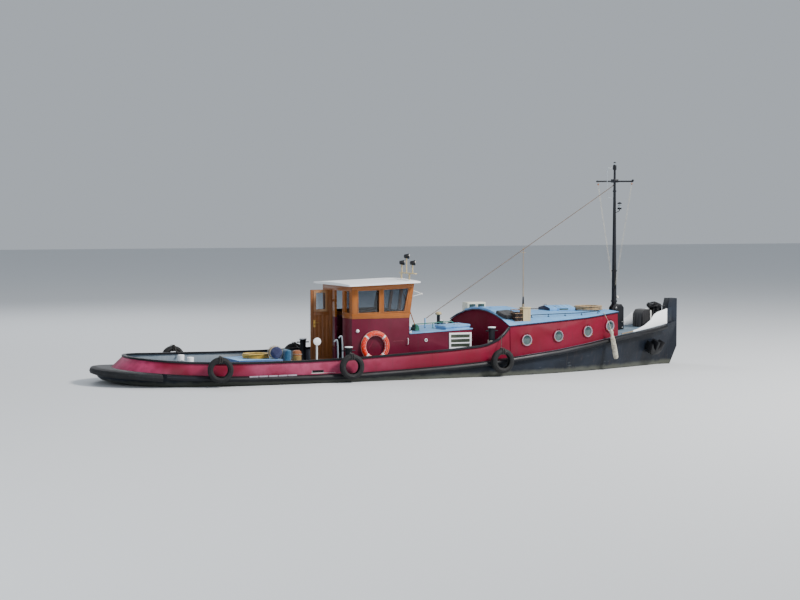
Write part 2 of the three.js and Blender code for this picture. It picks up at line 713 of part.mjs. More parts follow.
function doorLeaf() {
  const [x, y] = DOOR.hinge;
  const [near, far] = [x - 24, x - DOOR.width];
  const half = DOOR.thickness / 2;
  const pane = LEAF_WINDOW;
  const leaf = box(far, near, y - half, y + half, DOOR.foot, DOOR.head);
  const window = box(far + pane.far, near - pane.near, y - 100, y + 100, pane.foot, pane.head);
  const notches = HOOKS.map((z) => box(near - 12, near + 12, y - 60, y + 60, z - 30, z - 1));
  const rings = HOOKS.map((z) => join(
    bar([x, y, z + GAP], [x, y, z + DOOR.hook], 17, 17, 16),
    box(near - 30, x - 10, y - 8, y + 8, z + GAP, z + DOOR.hook),
  ));
  const holes = HOOKS.map((z) => bar([x, y, z - 40], [x, y, z + DOOR.hook + 10], 9.2, 9.2, 16));
  return cut(join(cut(leaf, window, ...notches), ...rings), ...holes);
}
add('wheelhouse_door', doorLeaf(), 'wood');

function doorPane() {
  const [x, y] = DOOR.hinge;
  const inner = y - DOOR.thickness / 2 - GAP;
  const { near, far, foot, head, lap } = LEAF_WINDOW;
  return box(x - DOOR.width + far - lap, x - 24 - near + lap, inner - 6, inner, foot - lap, head + lap);
}
add('door_glass', doorPane(), 'glass');

// Helm

const CONSOLE = { aft: -690, half: 480, top: 1300, stub: 40 };

function helmConsole() {
  const [aft, front] = [CONSOLE.aft, HOUSE.front - HOUSE.wall - GAP];
  const { half, top, stub } = CONSOLE;
  const outline = [[aft, 180], [front, 180], [front, top], [aft + 120, top], [aft, top - 120]];
  const axle = bar([aft + 20, 0, WHEEL.z], [aft - stub, 0, WHEEL.z], 34, 34, 16);
  return seated(join(plateXZ(outline, -half, half), axle), hullLoft);
}
add('helm_console', helmConsole(), 'wood');

function steeringWheel() {
  const rim = ring(WHEEL.radius - WHEEL.rim, WHEEL.rim, 20, 6).rotateY(Math.PI / 2);
  const hub = bar([-28, 0, 0], [CONSOLE.aft - CONSOLE.stub - GAP - WHEEL.x, 0, 0], 45, 45, 16);
  const spokes = range(6).map((i) => {
    const angle = (Math.PI * i) / 3;
    const tip = WHEEL.radius + 70;
    return bar([0, 0, 0], [0, tip * Math.cos(angle), tip * Math.sin(angle)], 14, 11, 6);
  });
  return moved(join(rim, hub, ...spokes), WHEEL.x, 0, WHEEL.z);
}
add('steering_wheel', steeringWheel(), 'wood');

// Lamp rack on the wheelhouse roof: two posts, a shelf and three searchlights
const RACK = { x: -150, starboard: -1090, port: -120, shelf: 2550, depth: 70, posts: [-190, -690] };
// Columns: y, height of the lamp's centre
const LAMPS = [[-220, 2790], [-510, 2955], [-890, 2800]];
const LAMP = { radius: 62, length: 110 };

function lampRack() {
  const { x, shelf: top, depth } = RACK;
  const shelf = box(x - depth / 2, x + depth / 2, RACK.starboard, RACK.port, top - 25, top);
  const posts = RACK.posts.map((y) => bar([x, y, houseTop(x) + 20], [x, y, top - 5], 22));
  const reach = LAMP.length / 2;
  const lamps = LAMPS.flatMap(([y, z]) => [
    bar([x, y, top - 5], [x, y, z], 16),
    bar([x - reach, y, z], [x + reach, y, z], LAMP.radius * 0.75, LAMP.radius, 16),
  ]);
  return seated(join(shelf, ...posts, ...lamps), wheelhouseRoof());
}
add('lamp_rack', lampRack(), 'white');

// Lifebuoy on the starboard side of the wheelhouse
const BUOY = { x: -1210, z: 780, middle: 310, radius: 62 };

function lifebuoy() {
  const shape = ring(BUOY.middle, BUOY.radius, 24, 8, 0.8).rotateX(Math.PI / 2);
  return moved(shape, BUOY.x, -HOUSE.half - GAP - BUOY.radius * 0.8, BUOY.z);
}
add('lifebuoy', lifebuoy(), 'orange');

// Bollards

// Columns: name, x, distance out from the centreline, top, radius
const BOLLARDS = [['mid', -2125, 1600, 820, 78], ['fore', 1700, 1560, 1200, 78]];

function bollard(x, y, top, radius) {
  const foot = deckHeight(x) - SKIN;
  const profile = [
    [0, foot], [radius, foot], [radius, top - 45], [radius + 14, top - 40], [radius + 14, top - 8],
    [radius + 4, top], [0, top],
  ];
  const pin = bar([x - 165, y, top - 85], [x + 165, y, top - 85], 16);
  const plate = box(x - 150, x + 150, y - 110, y + 110, foot, deckHeight(x) + 14);
  return seated(join(moved(turned(profile, 20), x, y, 0), pin, plate), hullLoft);
}
for (const [place, x, out, top, radius] of BOLLARDS) {
  for (const [name, side] of Object.entries(SIDE)) {
    add(`bollard_${place}_${name}`, bollard(x, side * out, top, radius), 'grey');
  }
}

const BITT = { x: -5700, half: 400, top: 590, radius: 75, bar: 440 };

function towingBitt() {
  const { x, half, top, radius, bar: height } = BITT;
  const foot = deckHeight(x) - SKIN;
  const posts = [-half, half].map((y) => bar([x, y, foot], [x, y, top], radius, radius, 20));
  const cross = bar([x, -half - 160, height], [x, half + 160, height], 40, 40, 16);
  const plate = box(x - 160, x + 160, -half - 150, half + 150, foot, deckHeight(x) + 16);
  return seated(join(...posts, cross, plate), hullLoft);
}
add('towing_bitt', towingBitt(), 'grey');

// Aft deck hatch and work lamp
const AFT_HATCH = { aft: -4570, front: -3430, half: 620, top: 500 };

function aftHatch() {
  const { aft, front, half, top } = AFT_HATCH;
  return seated(box(aft, front, -half, half, 150, top), hullLoft);
}
add('aft_hatch', aftHatch(), 'deckBlue');

function workLamp() {
  const [x, y] = [-2640, -800];
  const disc = bar([x, y - 40, 920], [x, y + 40, 920], 95, 80, 20);
  const post = bar([x, y, 150], [x, y, 920], 22);
  const foot = bar([x, y, 150], [x, y, deckHeight(x) + 14], 70);
  return seated(join(disc, post, foot), hullLoft);
}
add('work_lamp', workLamp(), 'white');

// Tyres hung along both sides as fenders

// Columns: name, x, height of the centre
const TYRES = [['aft', -5450, 410], ['mid', -2210, 385], ['fore', 1780, 395]];
const TYRE = { outer: 300, rim: 175, width: 165, press: 3 };

function tyre() {
  const { outer, rim, width } = TYRE;
  const half = width / 2;
  const profile = [
    [rim, -half * 0.75], [rim + 25, -half], [outer - 45, -half], [outer - 8, -half * 0.6], [outer, 0],
    [outer - 8, half * 0.6], [outer - 45, half], [rim + 25, half], [rim, half * 0.75], [rim + 12, 0],
    [rim, -half * 0.75],
  ];
  return turned(profile, 24).rotateX(Math.PI / 2);
}

for (const [place, x, z] of TYRES) {
  const slope = Math.atan((deckHalf(x + 250) - deckHalf(x - 250)) / 500);
  const out = deckHalf(x) + STRAKE.proud + TYRE.width / 2 - TYRE.press;
  for (const [name, side] of Object.entries(SIDE)) {
    const hung = moved(tyre().rotateZ(side * slope), x, side * out, z);
    add(`tyre_${place}_${name}`, cut(hung, moved(strake(side), 0, side * 2 * GAP, 0)), 'rubber');
  }
}

// Rope-work fender by the cabin's forward corner
function ropeFender() {
  const profile = [[0, 0], [38, 20], [62, 90], [68, 250], [68, 520], [60, 660], [34, 730], [0, 750]];
  const body = turned(profile, 16).rotateY(-0.2);
  return cut(moved(body, 5300, -1434, 300), moved(strake(SIDE.starboard), 0, -2 * GAP, 0));
}
add('rope_fender', ropeFender(), 'canvas');

// Anchor stowed against the starboard bow
function anchor() {
  const arms = [
    [-40, 350], [40, 350], [45, 120], [150, 190], [270, 330], [240, 80], [120, -10], [-120, -10],
    [-240, 80], [-270, 330], [-150, 190], [-45, 120],
  ];
  const plate = plateXZ(arms, -70, 150);
  const slope = Math.atan((deckHalf(7100) - deckHalf(6700)) / 400);
  const placed = moved(plate.rotateX(0.42).rotateZ(-slope), 6900, -deckHalf(6900) + 60, 330);
  return cut(placed, moved(hullLoft, 0, -GAP * 3, 0), moved(strake(SIDE.starboard), 0, -GAP * 2, -GAP));
}
add('anchor', anchor(), 'grey');

// Windlass and its canvas cover on the fore deck
const WINDLASS = { x: 7260, z: 1560, cheek: 130, drum: 95 };

function windlassFrame() {
  const { x, z } = WINDLASS;
  const foot = deckHeight(x) - SKIN;
  const outline = [[x - 150, foot], [x + 150, foot], [x + 45, z + 50], [x - 45, z + 50]];
  const cheek = (y) => plateXZ(outline, y - 12, y + 12);
  const plate = box(x - 160, x + 160, -170, 170, foot, deckHeight(x + 160) + 12);
  const hole = bar([x, -300, z], [x, 300, z], 26, 26, 20);
  return seated(cut(join(cheek(-WINDLASS.cheek), cheek(WINDLASS.cheek), plate), hole), hullLoft);
}
add('windlass_frame', windlassFrame(), 'black');

function windlassDrum() {
  const { x, z, cheek, drum } = WINDLASS;
  const axle = bar([x, -290, z], [x, 290, z], 25.2, 25.2, 20);
  const barrel = bar([x, 12.5 - cheek, z], [x, cheek - 12.5, z], drum, drum, 16);
  const heads = [-1, 1].map((side) => bar([x, side * 200, z], [x, side * 280, z], 55, 70, 16));
  return join(axle, barrel, ...heads);
}
add('windlass_drum', windlassDrum(), 'grey');

function windlassCover() {
  const base = deckHeight(6890) - SKIN;
  const outline = [[6730, base], [7090, base], [7085, 1420], [7000, 1500], [6820, 1490], [6740, 1380]];
  return seated(plateXZ(outline, -270, 270), hullLoft);
}
add('windlass_cover', windlassCover(), 'canvas');

// Mast, hinged in its tabernacle
const TABERNACLE = { aft: 5945, front: 6280, top: 1620, inner: 82, plate: 22 };

function tabernacle() {
  const { aft, front, top, inner, plate } = TABERNACLE;
  const foot = deckHeight(aft) - SKIN;
  const outline = [
    [aft, foot], [front, foot], [front, top - 90], [front - 70, top], [aft + 70, top], [aft, top - 90],
  ];
  const walls = [-1, 1].map((side) => plateXZ(outline, side * inner, side * (inner + plate)));
  const step = box(aft, front, -inner - 5, inner + 5, foot, deckHeight(front) + 20);
  const reach = inner + 30;
  const pin = bar([MAST.x, -reach, MAST.pivot], [MAST.x, reach, MAST.pivot], PIVOT.pin, PIVOT.pin, 20);
  return seated(join(...walls, step, pin), hullLoft);
}
add('tabernacle', tabernacle(), 'black');

function mast() {
  const pole = bar([MAST.x, 0, MAST.foot], [MAST.x, 0, MAST.top - 60], MAST.base, MAST.tip, 14);
  const yard = bar([MAST.x, -MAST.yardHalf, MAST.yard - 25], [MAST.x, MAST.yardHalf, MAST.yard], 22, 22, 10);
  const lamp = box(MAST.x - 60, MAST.x + 60, -95, 95, MAST.yard - 45, MAST.yard + 45);
  const topLamp = bar([MAST.x, 0, MAST.top - 120], [MAST.x, 0, MAST.top], 48, 48, 14);
  const hole = bar([MAST.x, -200, MAST.pivot], [MAST.x, 200, MAST.pivot], PIVOT.hole, PIVOT.hole, 20);
  return cut(join(pole, yard, lamp, topLamp), hole);
}
add('mast', mast(), 'black');

const STAY_TOP = 4770;             // where the stay meets the mast

function backstay() {
  const foot = [STAY_POST.x, 0, STAY_POST.top - 20];
  const stay = bar(foot, [MAST.x, 0, STAY_TOP], 8, 8, 8);
  return cut(stay, moved(mast(), -GAP, 0, 0), moved(casingRoof(), 0, 0, GAP));
}
add('backstay', backstay(), 'grey');

// Low locker across the aft end of the fore cabin's roof, arched as the roof is but level along its top
const LOCKER = { aft: 2100, front: 2900, half: 900, top: 1622 };

function roofLocker() {
  const { aft, front, half, top } = LOCKER;
  const arched = loft([[2000, ...CABIN_ROOF[0].slice(1)], ...CABIN_ROOF.slice(0, 3)].map((row) => {
    const [x, edge, rise] = row;
    const reach = cabinHalf(x) - CABIN.tumblehome + CABIN.overhang;
    return [...roofArch(row, reach, 10), ...roofArch(row, reach, top - edge - rise).reverse()];
  }));
  const around = cut(box(1900, 3600, -2000, 2000, 900, 1800), box(aft, front, -half, half, 800, 1900));
  return seated(cut(arched, around), cabinRoofShape);
}
add('roof_locker', roofLocker(), 'deckBlue');

// A hatch and a skylight with low pitched tops on the fore cabin's roof, each trimmed to the arch
// Columns: name, aft, front, half width, height of the sides, height of the ridge, finish
const ROOF_GEAR = [
  ['roof_hatch', 3960, 4185, 330, 1570, 1630, 'deckBlue'],
  ['skylight', 4195, 4700, 330, 1570, 1630, 'black'],
];
const roofRidge = CABIN_ROOF.map(([x, edge, rise]) => [x, edge + rise + GAP + CABIN.roof]);
const UNDER_ROOF = 1440;           // lower than the roof's underside wherever gear stands on it

for (const [name, aft, front, half, side, ridge, finish] of ROOF_GEAR) {
  const outline = [[-half, UNDER_ROOF], [half, UNDER_ROOF], [half, side], [0, ridge], [-half, side]];
  const body = plateYZ(outline, aft, front);
  add(name, seated(cut(body, moved(cabinShape, 0, 0, 20)), cabinRoofShape), finish);
}

const AERIAL = { x: 3480, y: 250, top: 3130 };
function aerial() {
  const pole = bar([AERIAL.x, AERIAL.y, UNDER_ROOF], [AERIAL.x, AERIAL.y, AERIAL.top], 16, 9, 10);
  const foot = bar([AERIAL.x, AERIAL.y, UNDER_ROOF], [AERIAL.x, AERIAL.y, 1660], 40, 30, 12);
  return seated(cut(join(pole, foot), moved(cabinShape, 0, 0, 15)), cabinRoofShape);
}
add('aerial_pole', aerial(), 'white');

// Coils of rope, as the space each one fills
// Columns: name, x, y, foot of the coil, middle radius, half width of the winding, half height, finish
const COILS = [
  ['rope_coil_yellow', -3930, 0, AFT_HATCH.top, 270, 75, 60, 'yellowRope'],
  ['rope_coil_brown', -3060, 60, deckHeight(-2720), 240, 90, 120, 'brownRope'],
  ['rope_coil_roof', 5100, -300, along(roofRidge, 5485) - 6, 310, 75, 55, 'tanRope'],
];

for (const [name, x, y, foot, middle, across, high, finish] of COILS) {
  const profile = [
    [middle - across, -high], [middle + across, -high], [middle + across, high], [middle - across, high],
    [middle - across, -high],
  ];
  const coil = moved(turned(profile, 24), x, y, foot + high + GAP);
  add(name, seated(coil, cabinRoofShape), finish);
}

// Propeller, its shaft and the rudder

function propeller() {
  const { x, radius, hub, length, blades } = PROPELLER;
  const rearEnd = x - length / 2 - 60;
  const shaft = bar([x, 0, SHAFT.height], [-5000, 0, SHAFT.height], SHAFT.radius, SHAFT.radius, 24);
  const face = SHAFT.tubeEnd - SKIN - GAP - 5;
  const boss = bar([face, 0, SHAFT.height], [rearEnd, 0, SHAFT.height], hub, hub * 0.6, 20);
  const fins = range(blades).map((i) => blade(radius).rotateX((2 * Math.PI * (i + 0.5)) / blades));
  return join(shaft, boss, ...fins.map((fin) => moved(fin, x, 0, SHAFT.height)));
}

// Columns: share of the radius, chord, angle from the disc in degrees, thickness
const BLADE = [
  [0.12, 170, 62, 34], [0.35, 280, 42, 26], [0.65, 350, 29, 18], [0.88, 290, 23, 12], [1, 120, 20, 8],
];

// One blade, standing along +Z from the hub
function blade(tip) {
  return loft(BLADE.map(([share, chord, degrees, thickness]) => {
    const radius = share * tip;
    const angle = THREE.MathUtils.degToRad(degrees);
    const section = [[-0.5, 0], [-0.2, 0.5], [0.2, 0.5], [0.5, 0], [0.2, -0.5], [-0.2, -0.5]];
    const [sin, cos] = [Math.sin(angle), Math.cos(angle)];
    return section.map(([part, side]) => {
      const [run, rise] = [part * chord, side * thickness];
      return [run * sin + rise * cos, run * cos - rise * sin, radius];
    });
  }));
}
add('propeller', propeller(), 'bronze');

function rudder() {
  const { x, top, foot, aft, fore, thickness, stock } = RUDDER;
  const section = (z) => [
    [x + fore, 0], [x + fore * 0.6, thickness * 0.4], [x, thickness / 2], [x - aft * 0.5, thickness * 0.35],
    [x - aft, 6], [x - aft, -6], [x - aft * 0.5, -thickness * 0.35], [x, -thickness / 2],
    [x + fore * 0.6, -thickness * 0.4],
  ].map(([px, py]) => [px, py, z]);
  const post = bar([x, 0, KEEL.bottom + KEEL.shoe + GAP], [x, 0, 60], stock, stock, 24);
  return join(loft([section(foot), section(top)]), post);
}
add('rudder', rudder(), 'charcoal');

export default boat;
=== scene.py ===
# %% [markdown]
# A small steel harbour tug, dressed for its portrait.
# The solid model of the boat is already built and cannot be moved. This lesson loads it as a fixed frame,
# then gives every piece the surface and the small parts that make it look real: paint, varnish, rope,
# rubber, rivets and glass. Lengths are metres, +X points to the bow, +Y to port and +Z up, and the
# water the boat floats on is at height 0.

import json
import math
import random

import bpy
from mathutils import Euler, Matrix, Vector
from mathutils.bvhtree import BVHTree
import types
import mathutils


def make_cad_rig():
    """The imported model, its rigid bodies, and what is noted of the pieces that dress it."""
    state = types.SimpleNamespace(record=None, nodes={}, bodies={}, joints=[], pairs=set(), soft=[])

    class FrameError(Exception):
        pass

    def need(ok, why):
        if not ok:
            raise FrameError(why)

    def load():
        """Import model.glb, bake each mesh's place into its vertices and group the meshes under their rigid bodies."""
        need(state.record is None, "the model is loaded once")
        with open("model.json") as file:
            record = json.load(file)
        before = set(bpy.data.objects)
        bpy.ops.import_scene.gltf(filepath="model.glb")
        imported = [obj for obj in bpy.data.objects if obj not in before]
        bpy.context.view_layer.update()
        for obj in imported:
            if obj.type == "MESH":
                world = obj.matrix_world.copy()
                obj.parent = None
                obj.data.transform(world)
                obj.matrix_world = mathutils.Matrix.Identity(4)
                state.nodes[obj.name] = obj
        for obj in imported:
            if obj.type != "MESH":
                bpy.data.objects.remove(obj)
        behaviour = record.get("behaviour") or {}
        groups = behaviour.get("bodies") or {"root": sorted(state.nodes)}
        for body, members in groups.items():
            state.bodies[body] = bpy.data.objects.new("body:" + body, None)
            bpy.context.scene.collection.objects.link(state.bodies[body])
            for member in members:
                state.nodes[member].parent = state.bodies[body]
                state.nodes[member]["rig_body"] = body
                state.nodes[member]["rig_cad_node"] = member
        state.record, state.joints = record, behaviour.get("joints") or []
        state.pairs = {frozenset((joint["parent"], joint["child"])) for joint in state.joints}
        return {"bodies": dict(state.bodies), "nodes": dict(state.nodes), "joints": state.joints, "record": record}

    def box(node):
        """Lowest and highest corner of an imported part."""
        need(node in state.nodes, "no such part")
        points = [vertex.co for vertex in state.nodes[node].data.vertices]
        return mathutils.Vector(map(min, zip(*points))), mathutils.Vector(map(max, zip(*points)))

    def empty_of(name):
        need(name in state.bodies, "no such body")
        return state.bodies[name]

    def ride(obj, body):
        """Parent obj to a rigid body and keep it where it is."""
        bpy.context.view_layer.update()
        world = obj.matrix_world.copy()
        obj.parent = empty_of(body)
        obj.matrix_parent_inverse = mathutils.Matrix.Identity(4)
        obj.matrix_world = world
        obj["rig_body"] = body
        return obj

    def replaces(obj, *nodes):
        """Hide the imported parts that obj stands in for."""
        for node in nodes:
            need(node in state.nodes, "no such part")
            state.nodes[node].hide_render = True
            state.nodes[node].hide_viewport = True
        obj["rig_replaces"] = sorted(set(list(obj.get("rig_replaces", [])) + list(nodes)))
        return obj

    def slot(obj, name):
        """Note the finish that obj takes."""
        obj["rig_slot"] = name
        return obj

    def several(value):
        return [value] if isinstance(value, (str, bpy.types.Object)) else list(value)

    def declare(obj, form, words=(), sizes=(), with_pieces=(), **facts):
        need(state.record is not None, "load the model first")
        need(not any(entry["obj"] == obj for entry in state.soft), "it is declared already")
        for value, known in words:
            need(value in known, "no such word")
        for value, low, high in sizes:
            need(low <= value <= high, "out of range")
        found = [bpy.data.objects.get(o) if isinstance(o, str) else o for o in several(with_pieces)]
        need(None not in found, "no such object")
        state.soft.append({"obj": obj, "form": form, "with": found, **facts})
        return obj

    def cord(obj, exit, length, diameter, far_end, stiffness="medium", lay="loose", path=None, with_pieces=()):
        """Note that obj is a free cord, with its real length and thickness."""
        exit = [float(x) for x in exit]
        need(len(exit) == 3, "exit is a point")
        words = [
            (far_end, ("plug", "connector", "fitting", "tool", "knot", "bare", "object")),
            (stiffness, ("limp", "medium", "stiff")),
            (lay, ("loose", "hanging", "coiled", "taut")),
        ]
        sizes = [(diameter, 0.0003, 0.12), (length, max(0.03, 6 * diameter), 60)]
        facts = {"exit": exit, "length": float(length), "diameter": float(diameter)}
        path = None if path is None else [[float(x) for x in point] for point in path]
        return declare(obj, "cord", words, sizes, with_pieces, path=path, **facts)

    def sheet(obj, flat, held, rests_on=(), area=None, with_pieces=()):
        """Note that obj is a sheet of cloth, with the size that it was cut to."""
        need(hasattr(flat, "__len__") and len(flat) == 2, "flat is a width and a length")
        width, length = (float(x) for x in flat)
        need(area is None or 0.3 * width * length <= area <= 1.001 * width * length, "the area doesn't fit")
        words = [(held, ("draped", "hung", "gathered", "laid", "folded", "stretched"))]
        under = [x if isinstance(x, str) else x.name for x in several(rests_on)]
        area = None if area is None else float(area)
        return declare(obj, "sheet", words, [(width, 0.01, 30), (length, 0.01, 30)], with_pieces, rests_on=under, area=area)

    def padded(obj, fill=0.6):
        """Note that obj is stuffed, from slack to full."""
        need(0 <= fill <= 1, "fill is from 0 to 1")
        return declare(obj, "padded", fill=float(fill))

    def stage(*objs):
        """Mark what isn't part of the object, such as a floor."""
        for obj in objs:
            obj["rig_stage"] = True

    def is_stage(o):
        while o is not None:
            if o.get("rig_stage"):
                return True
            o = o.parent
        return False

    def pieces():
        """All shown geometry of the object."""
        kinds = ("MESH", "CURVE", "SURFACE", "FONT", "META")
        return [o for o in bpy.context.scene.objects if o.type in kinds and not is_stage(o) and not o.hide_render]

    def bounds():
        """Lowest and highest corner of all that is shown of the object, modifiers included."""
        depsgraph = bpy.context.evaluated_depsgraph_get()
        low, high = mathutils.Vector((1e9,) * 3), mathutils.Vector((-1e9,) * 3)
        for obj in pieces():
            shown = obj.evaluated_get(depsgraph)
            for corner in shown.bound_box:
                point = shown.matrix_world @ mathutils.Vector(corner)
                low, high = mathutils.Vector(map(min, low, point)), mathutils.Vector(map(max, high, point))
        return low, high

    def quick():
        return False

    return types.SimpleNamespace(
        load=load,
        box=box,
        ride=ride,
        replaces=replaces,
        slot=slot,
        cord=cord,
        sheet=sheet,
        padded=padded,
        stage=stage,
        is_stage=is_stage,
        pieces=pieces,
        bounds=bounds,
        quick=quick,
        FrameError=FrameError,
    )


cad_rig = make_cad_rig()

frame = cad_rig.load()
cad_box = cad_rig.bounds()
print("frame:", len(frame["nodes"]), "nodes on", len(frame["bodies"]), "bodies")

# %% [markdown]
# The camera stands where the photographer stood: on a quay about 47 m away, 4.1 m above the water,
# looking a little forward and slightly down through a long lens. A long lens from far away keeps the
# boat's lines nearly parallel, and a short one close by would make the bow look huge.

# %% Camera
PICTURE_WIDTH = 800
FOCAL_PIXELS = 1857      # focal length in pixels of that picture
EYE = (-18.34, -42.95, 4.1)
HEADING = math.radians(-23)
DOWN = math.radians(2.77)


def placed(name, data):
    """A new object in the scene that shows a mesh, curve, lamp or lens."""
    thing = bpy.data.objects.new(name, data)
    bpy.context.scene.collection.objects.link(thing)
    return thing


lens = bpy.data.cameras.new("camera")
lens.sensor_width = 36
lens.lens = lens.sensor_width * FOCAL_PIXELS / PICTURE_WIDTH
lens.clip_end = 500
camera = placed("camera", lens)
camera.location = EYE
camera.rotation_euler = (math.pi / 2 - DOWN, 0, HEADING)
bpy.context.scene.camera = camera
print("lens", round(lens.lens, 1), "mm")

# %% [markdown]
# Three coils of rope lie on board: a yellow mooring line on the aft hatch, a brown one on the deck and a
# tan one on the cabin roof. A coil is one long line wound in flat layers, so a loop can work out every
# turn: it spirals outwards for one layer, climbs by one rope thickness, and spirals back inwards.

# %% A coil's line and its rope
# Columns: name, x, y, foot of the coil, middle radius, half width, half height, rope thickness
COILS = [
    ("rope_coil_yellow", -3.93, 0.0, 0.5, 0.27, 0.075, 0.06, 0.028),
    ("rope_coil_brown", -3.06, 0.06, 0.2156, 0.24, 0.09, 0.12, 0.034),
    ("rope_coil_roof", 5.10, -0.3, 1.5077, 0.31, 0.075, 0.055, 0.026),
]
POINTS_PER_TURN = 32


def coil_line(x, y, foot, middle, half_width, half_height, thick, seed):
    """The points of one rope, wound in layers from the foot of the coil upwards."""
    pitch = 1.06 * thick
    turns = int((2 * half_width - thick) / pitch)
    layers = 1 + int((2 * half_height - thick) / pitch)
    inner, outer = middle - turns * pitch / 2, middle + turns * pitch / 2
    wobble = random.Random(seed)
    lean = [wobble.uniform(-0.1, 0.1) * thick for _ in range(4)]
    line, angle = [], 0.0
    for layer in range(layers):
        start, end = (inner, outer) if layer % 2 == 0 else (outer, inner)
        steps = turns * POINTS_PER_TURN
        climb = POINTS_PER_TURN // 4
        for i in range(steps + climb):
            share = min(1.0, i / steps)
            radius = start + (end - start) * share
            rise = max(0, i - steps) / climb
            rise = rise * rise * (3 - 2 * rise)
            height = foot + thick / 2 + 0.001 + pitch * (layer + rise)
            loose = lean[0] * math.sin(angle * 0.31) + lean[1] * math.cos(angle * 0.17)
            wide = radius + loose
            line.append((x + wide * math.cos(angle), y + wide * math.sin(angle), height))
            angle += 2 * math.pi / POINTS_PER_TURN
            if layer == layers - 1 and i == steps:
                return line
    return line


def length_of(line):
    return sum(math.dist(a, b) for a, b in zip(line, line[1:]))


for row, (name, *sizes) in enumerate(COILS):
    line = coil_line(*sizes, seed=row)
    print(name, len(line), "points,", round(length_of(line), 1), "m of rope")

# %% [markdown]
# A rope is three strands twisted round each other, and its outline shows it. So its section is a
# three-lobed curve, swept along the line and turned a little at each point. A curve object does both:
# the section is its bevel object, and tilt turns it.

# %% Twisted rope
LAY = 3.2                # rope thicknesses for one full twist


def work_on(piece):
    """Makes a piece the only selected one and the active one."""
    if bpy.context.mode != "OBJECT":
        bpy.ops.object.mode_set(mode="OBJECT")
    bpy.ops.object.select_all(action="DESELECT")
    piece.select_set(True)
    bpy.context.view_layer.objects.active = piece


def strand_section(name, thick):
    """A closed three-lobed outline, as a curve that other curves can be swept with."""
    section = bpy.data.curves.new(name, "CURVE")
    section.dimensions = "2D"
    outline = section.splines.new("POLY")
    sides = 12
    outline.points.add(sides - 1)
    for i, point in enumerate(outline.points):
        angle = 2 * math.pi * i / sides
        radius = thick / 2 * (0.9 + 0.1 * math.cos(3 * angle))
        point.co = (radius * math.cos(angle), radius * math.sin(angle), 0, 1)
    outline.use_cyclic_u = True
    return placed(name, section)


def twisted_rope(name, line, thick):
    """A rope along a line of points, as a mesh."""
    step = LAY * thick / 6
    even, left = [Vector(line[0])], step
    for a, b in zip(map(Vector, line), map(Vector, line[1:])):
        span = (b - a).length
        while left <= span:
            even.append(a.lerp(b, left / span))
            left += step
        left -= span
    even.append(Vector(line[-1]))
    curve = bpy.data.curves.new(name, "CURVE")
    curve.dimensions = "3D"
    curve.twist_mode = "Z_UP"
    curve.use_fill_caps = True
    spline = curve.splines.new("POLY")
    spline.points.add(len(even) - 1)
    for i, (point, place) in enumerate(zip(spline.points, even)):
        point.co = (*place, 1)
        point.tilt = math.radians(60) * i
    section = strand_section(name + "_section", thick)
    curve.bevel_mode = "OBJECT"
    curve.bevel_object = section
    work_on(placed(name, curve))
    bpy.ops.object.convert(target="MESH")
    bpy.ops.object.shade_smooth()
    bpy.data.objects.remove(section)
    return bpy.context.active_object, [tuple(place) for place in even]


ropes = {}
for row, (name, *sizes) in enumerate(COILS):
    rope, path = twisted_rope(name + "_line", coil_line(*sizes, seed=row), sizes[-1])
    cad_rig.ride(rope, "root")
    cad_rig.replaces(rope, name)
    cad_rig.cord(rope, exit=path[0], length=round(length_of(path), 2), diameter=sizes[-1], far_end="bare",
            stiffness="limp", lay="coiled", path=path)
    ropes[name] = rope
    print(rope.name, len(rope.data.polygons), "faces")

# %% [markdown]
# The studio: a pale floor at the waterline, an even sky all round, and one big soft light high on the
# camera's right, because on the real boat the sun stands ahead of the beam and every shadow falls aft.

# %% Floor and light
FLOOR_HALF = 150
bpy.ops.mesh.primitive_plane_add(size=2 * FLOOR_HALF, location=(0, 0, 0))
floor = bpy.context.active_object
floor.name = "floor"
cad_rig.stage(floor)

paper = bpy.data.materials.new("floor_paper")
paper.use_nodes = True
paper.node_tree.nodes["Principled BSDF"].inputs["Base Color"].default_value = (0.66, 0.68, 0.70, 1)
paper.node_tree.nodes["Principled BSDF"].inputs["Roughness"].default_value = 0.85
floor.data.materials.append(paper)

sky = bpy.data.worlds.new("sky")
bpy.context.scene.world = sky
sky.use_nodes = True
sky.node_tree.nodes["Background"].inputs["Color"].default_value = (0.80, 0.87, 0.95, 1)
sky.node_tree.nodes["Background"].inputs["Strength"].default_value = 0.55


def soft_light(name, place, target, size, watts, colour):
    lamp = bpy.data.lights.new(name, "AREA")
    lamp.shape = "DISK"
    lamp.size = size
    lamp.energy = watts
    lamp.color = colour
    holder = placed(name, lamp)
    holder.location = place
    holder.rotation_euler = (Vector(target) - Vector(place)).to_track_quat("-Z", "Y").to_euler()


soft_light("key", (22, -24, 28), (0, 0, 0.5), 9, 26000, (1.0, 0.97, 0.93))
soft_light("fill", (-24, -24, 12), (-1, 0, 0.5), 16, 2500, (0.9, 0.95, 1.0))
soft_light("back", (-4, 26, 20), (0, 0, 1), 14, 3000, (0.95, 0.97, 1.0))

# %% [markdown]
# Every finish below is a small network of nodes on Object coordinates, so a pattern has a real size and
# stays put when its piece moves. The helper keeps each recipe short: add() makes a node and wires it.

# %% A helper for node materials


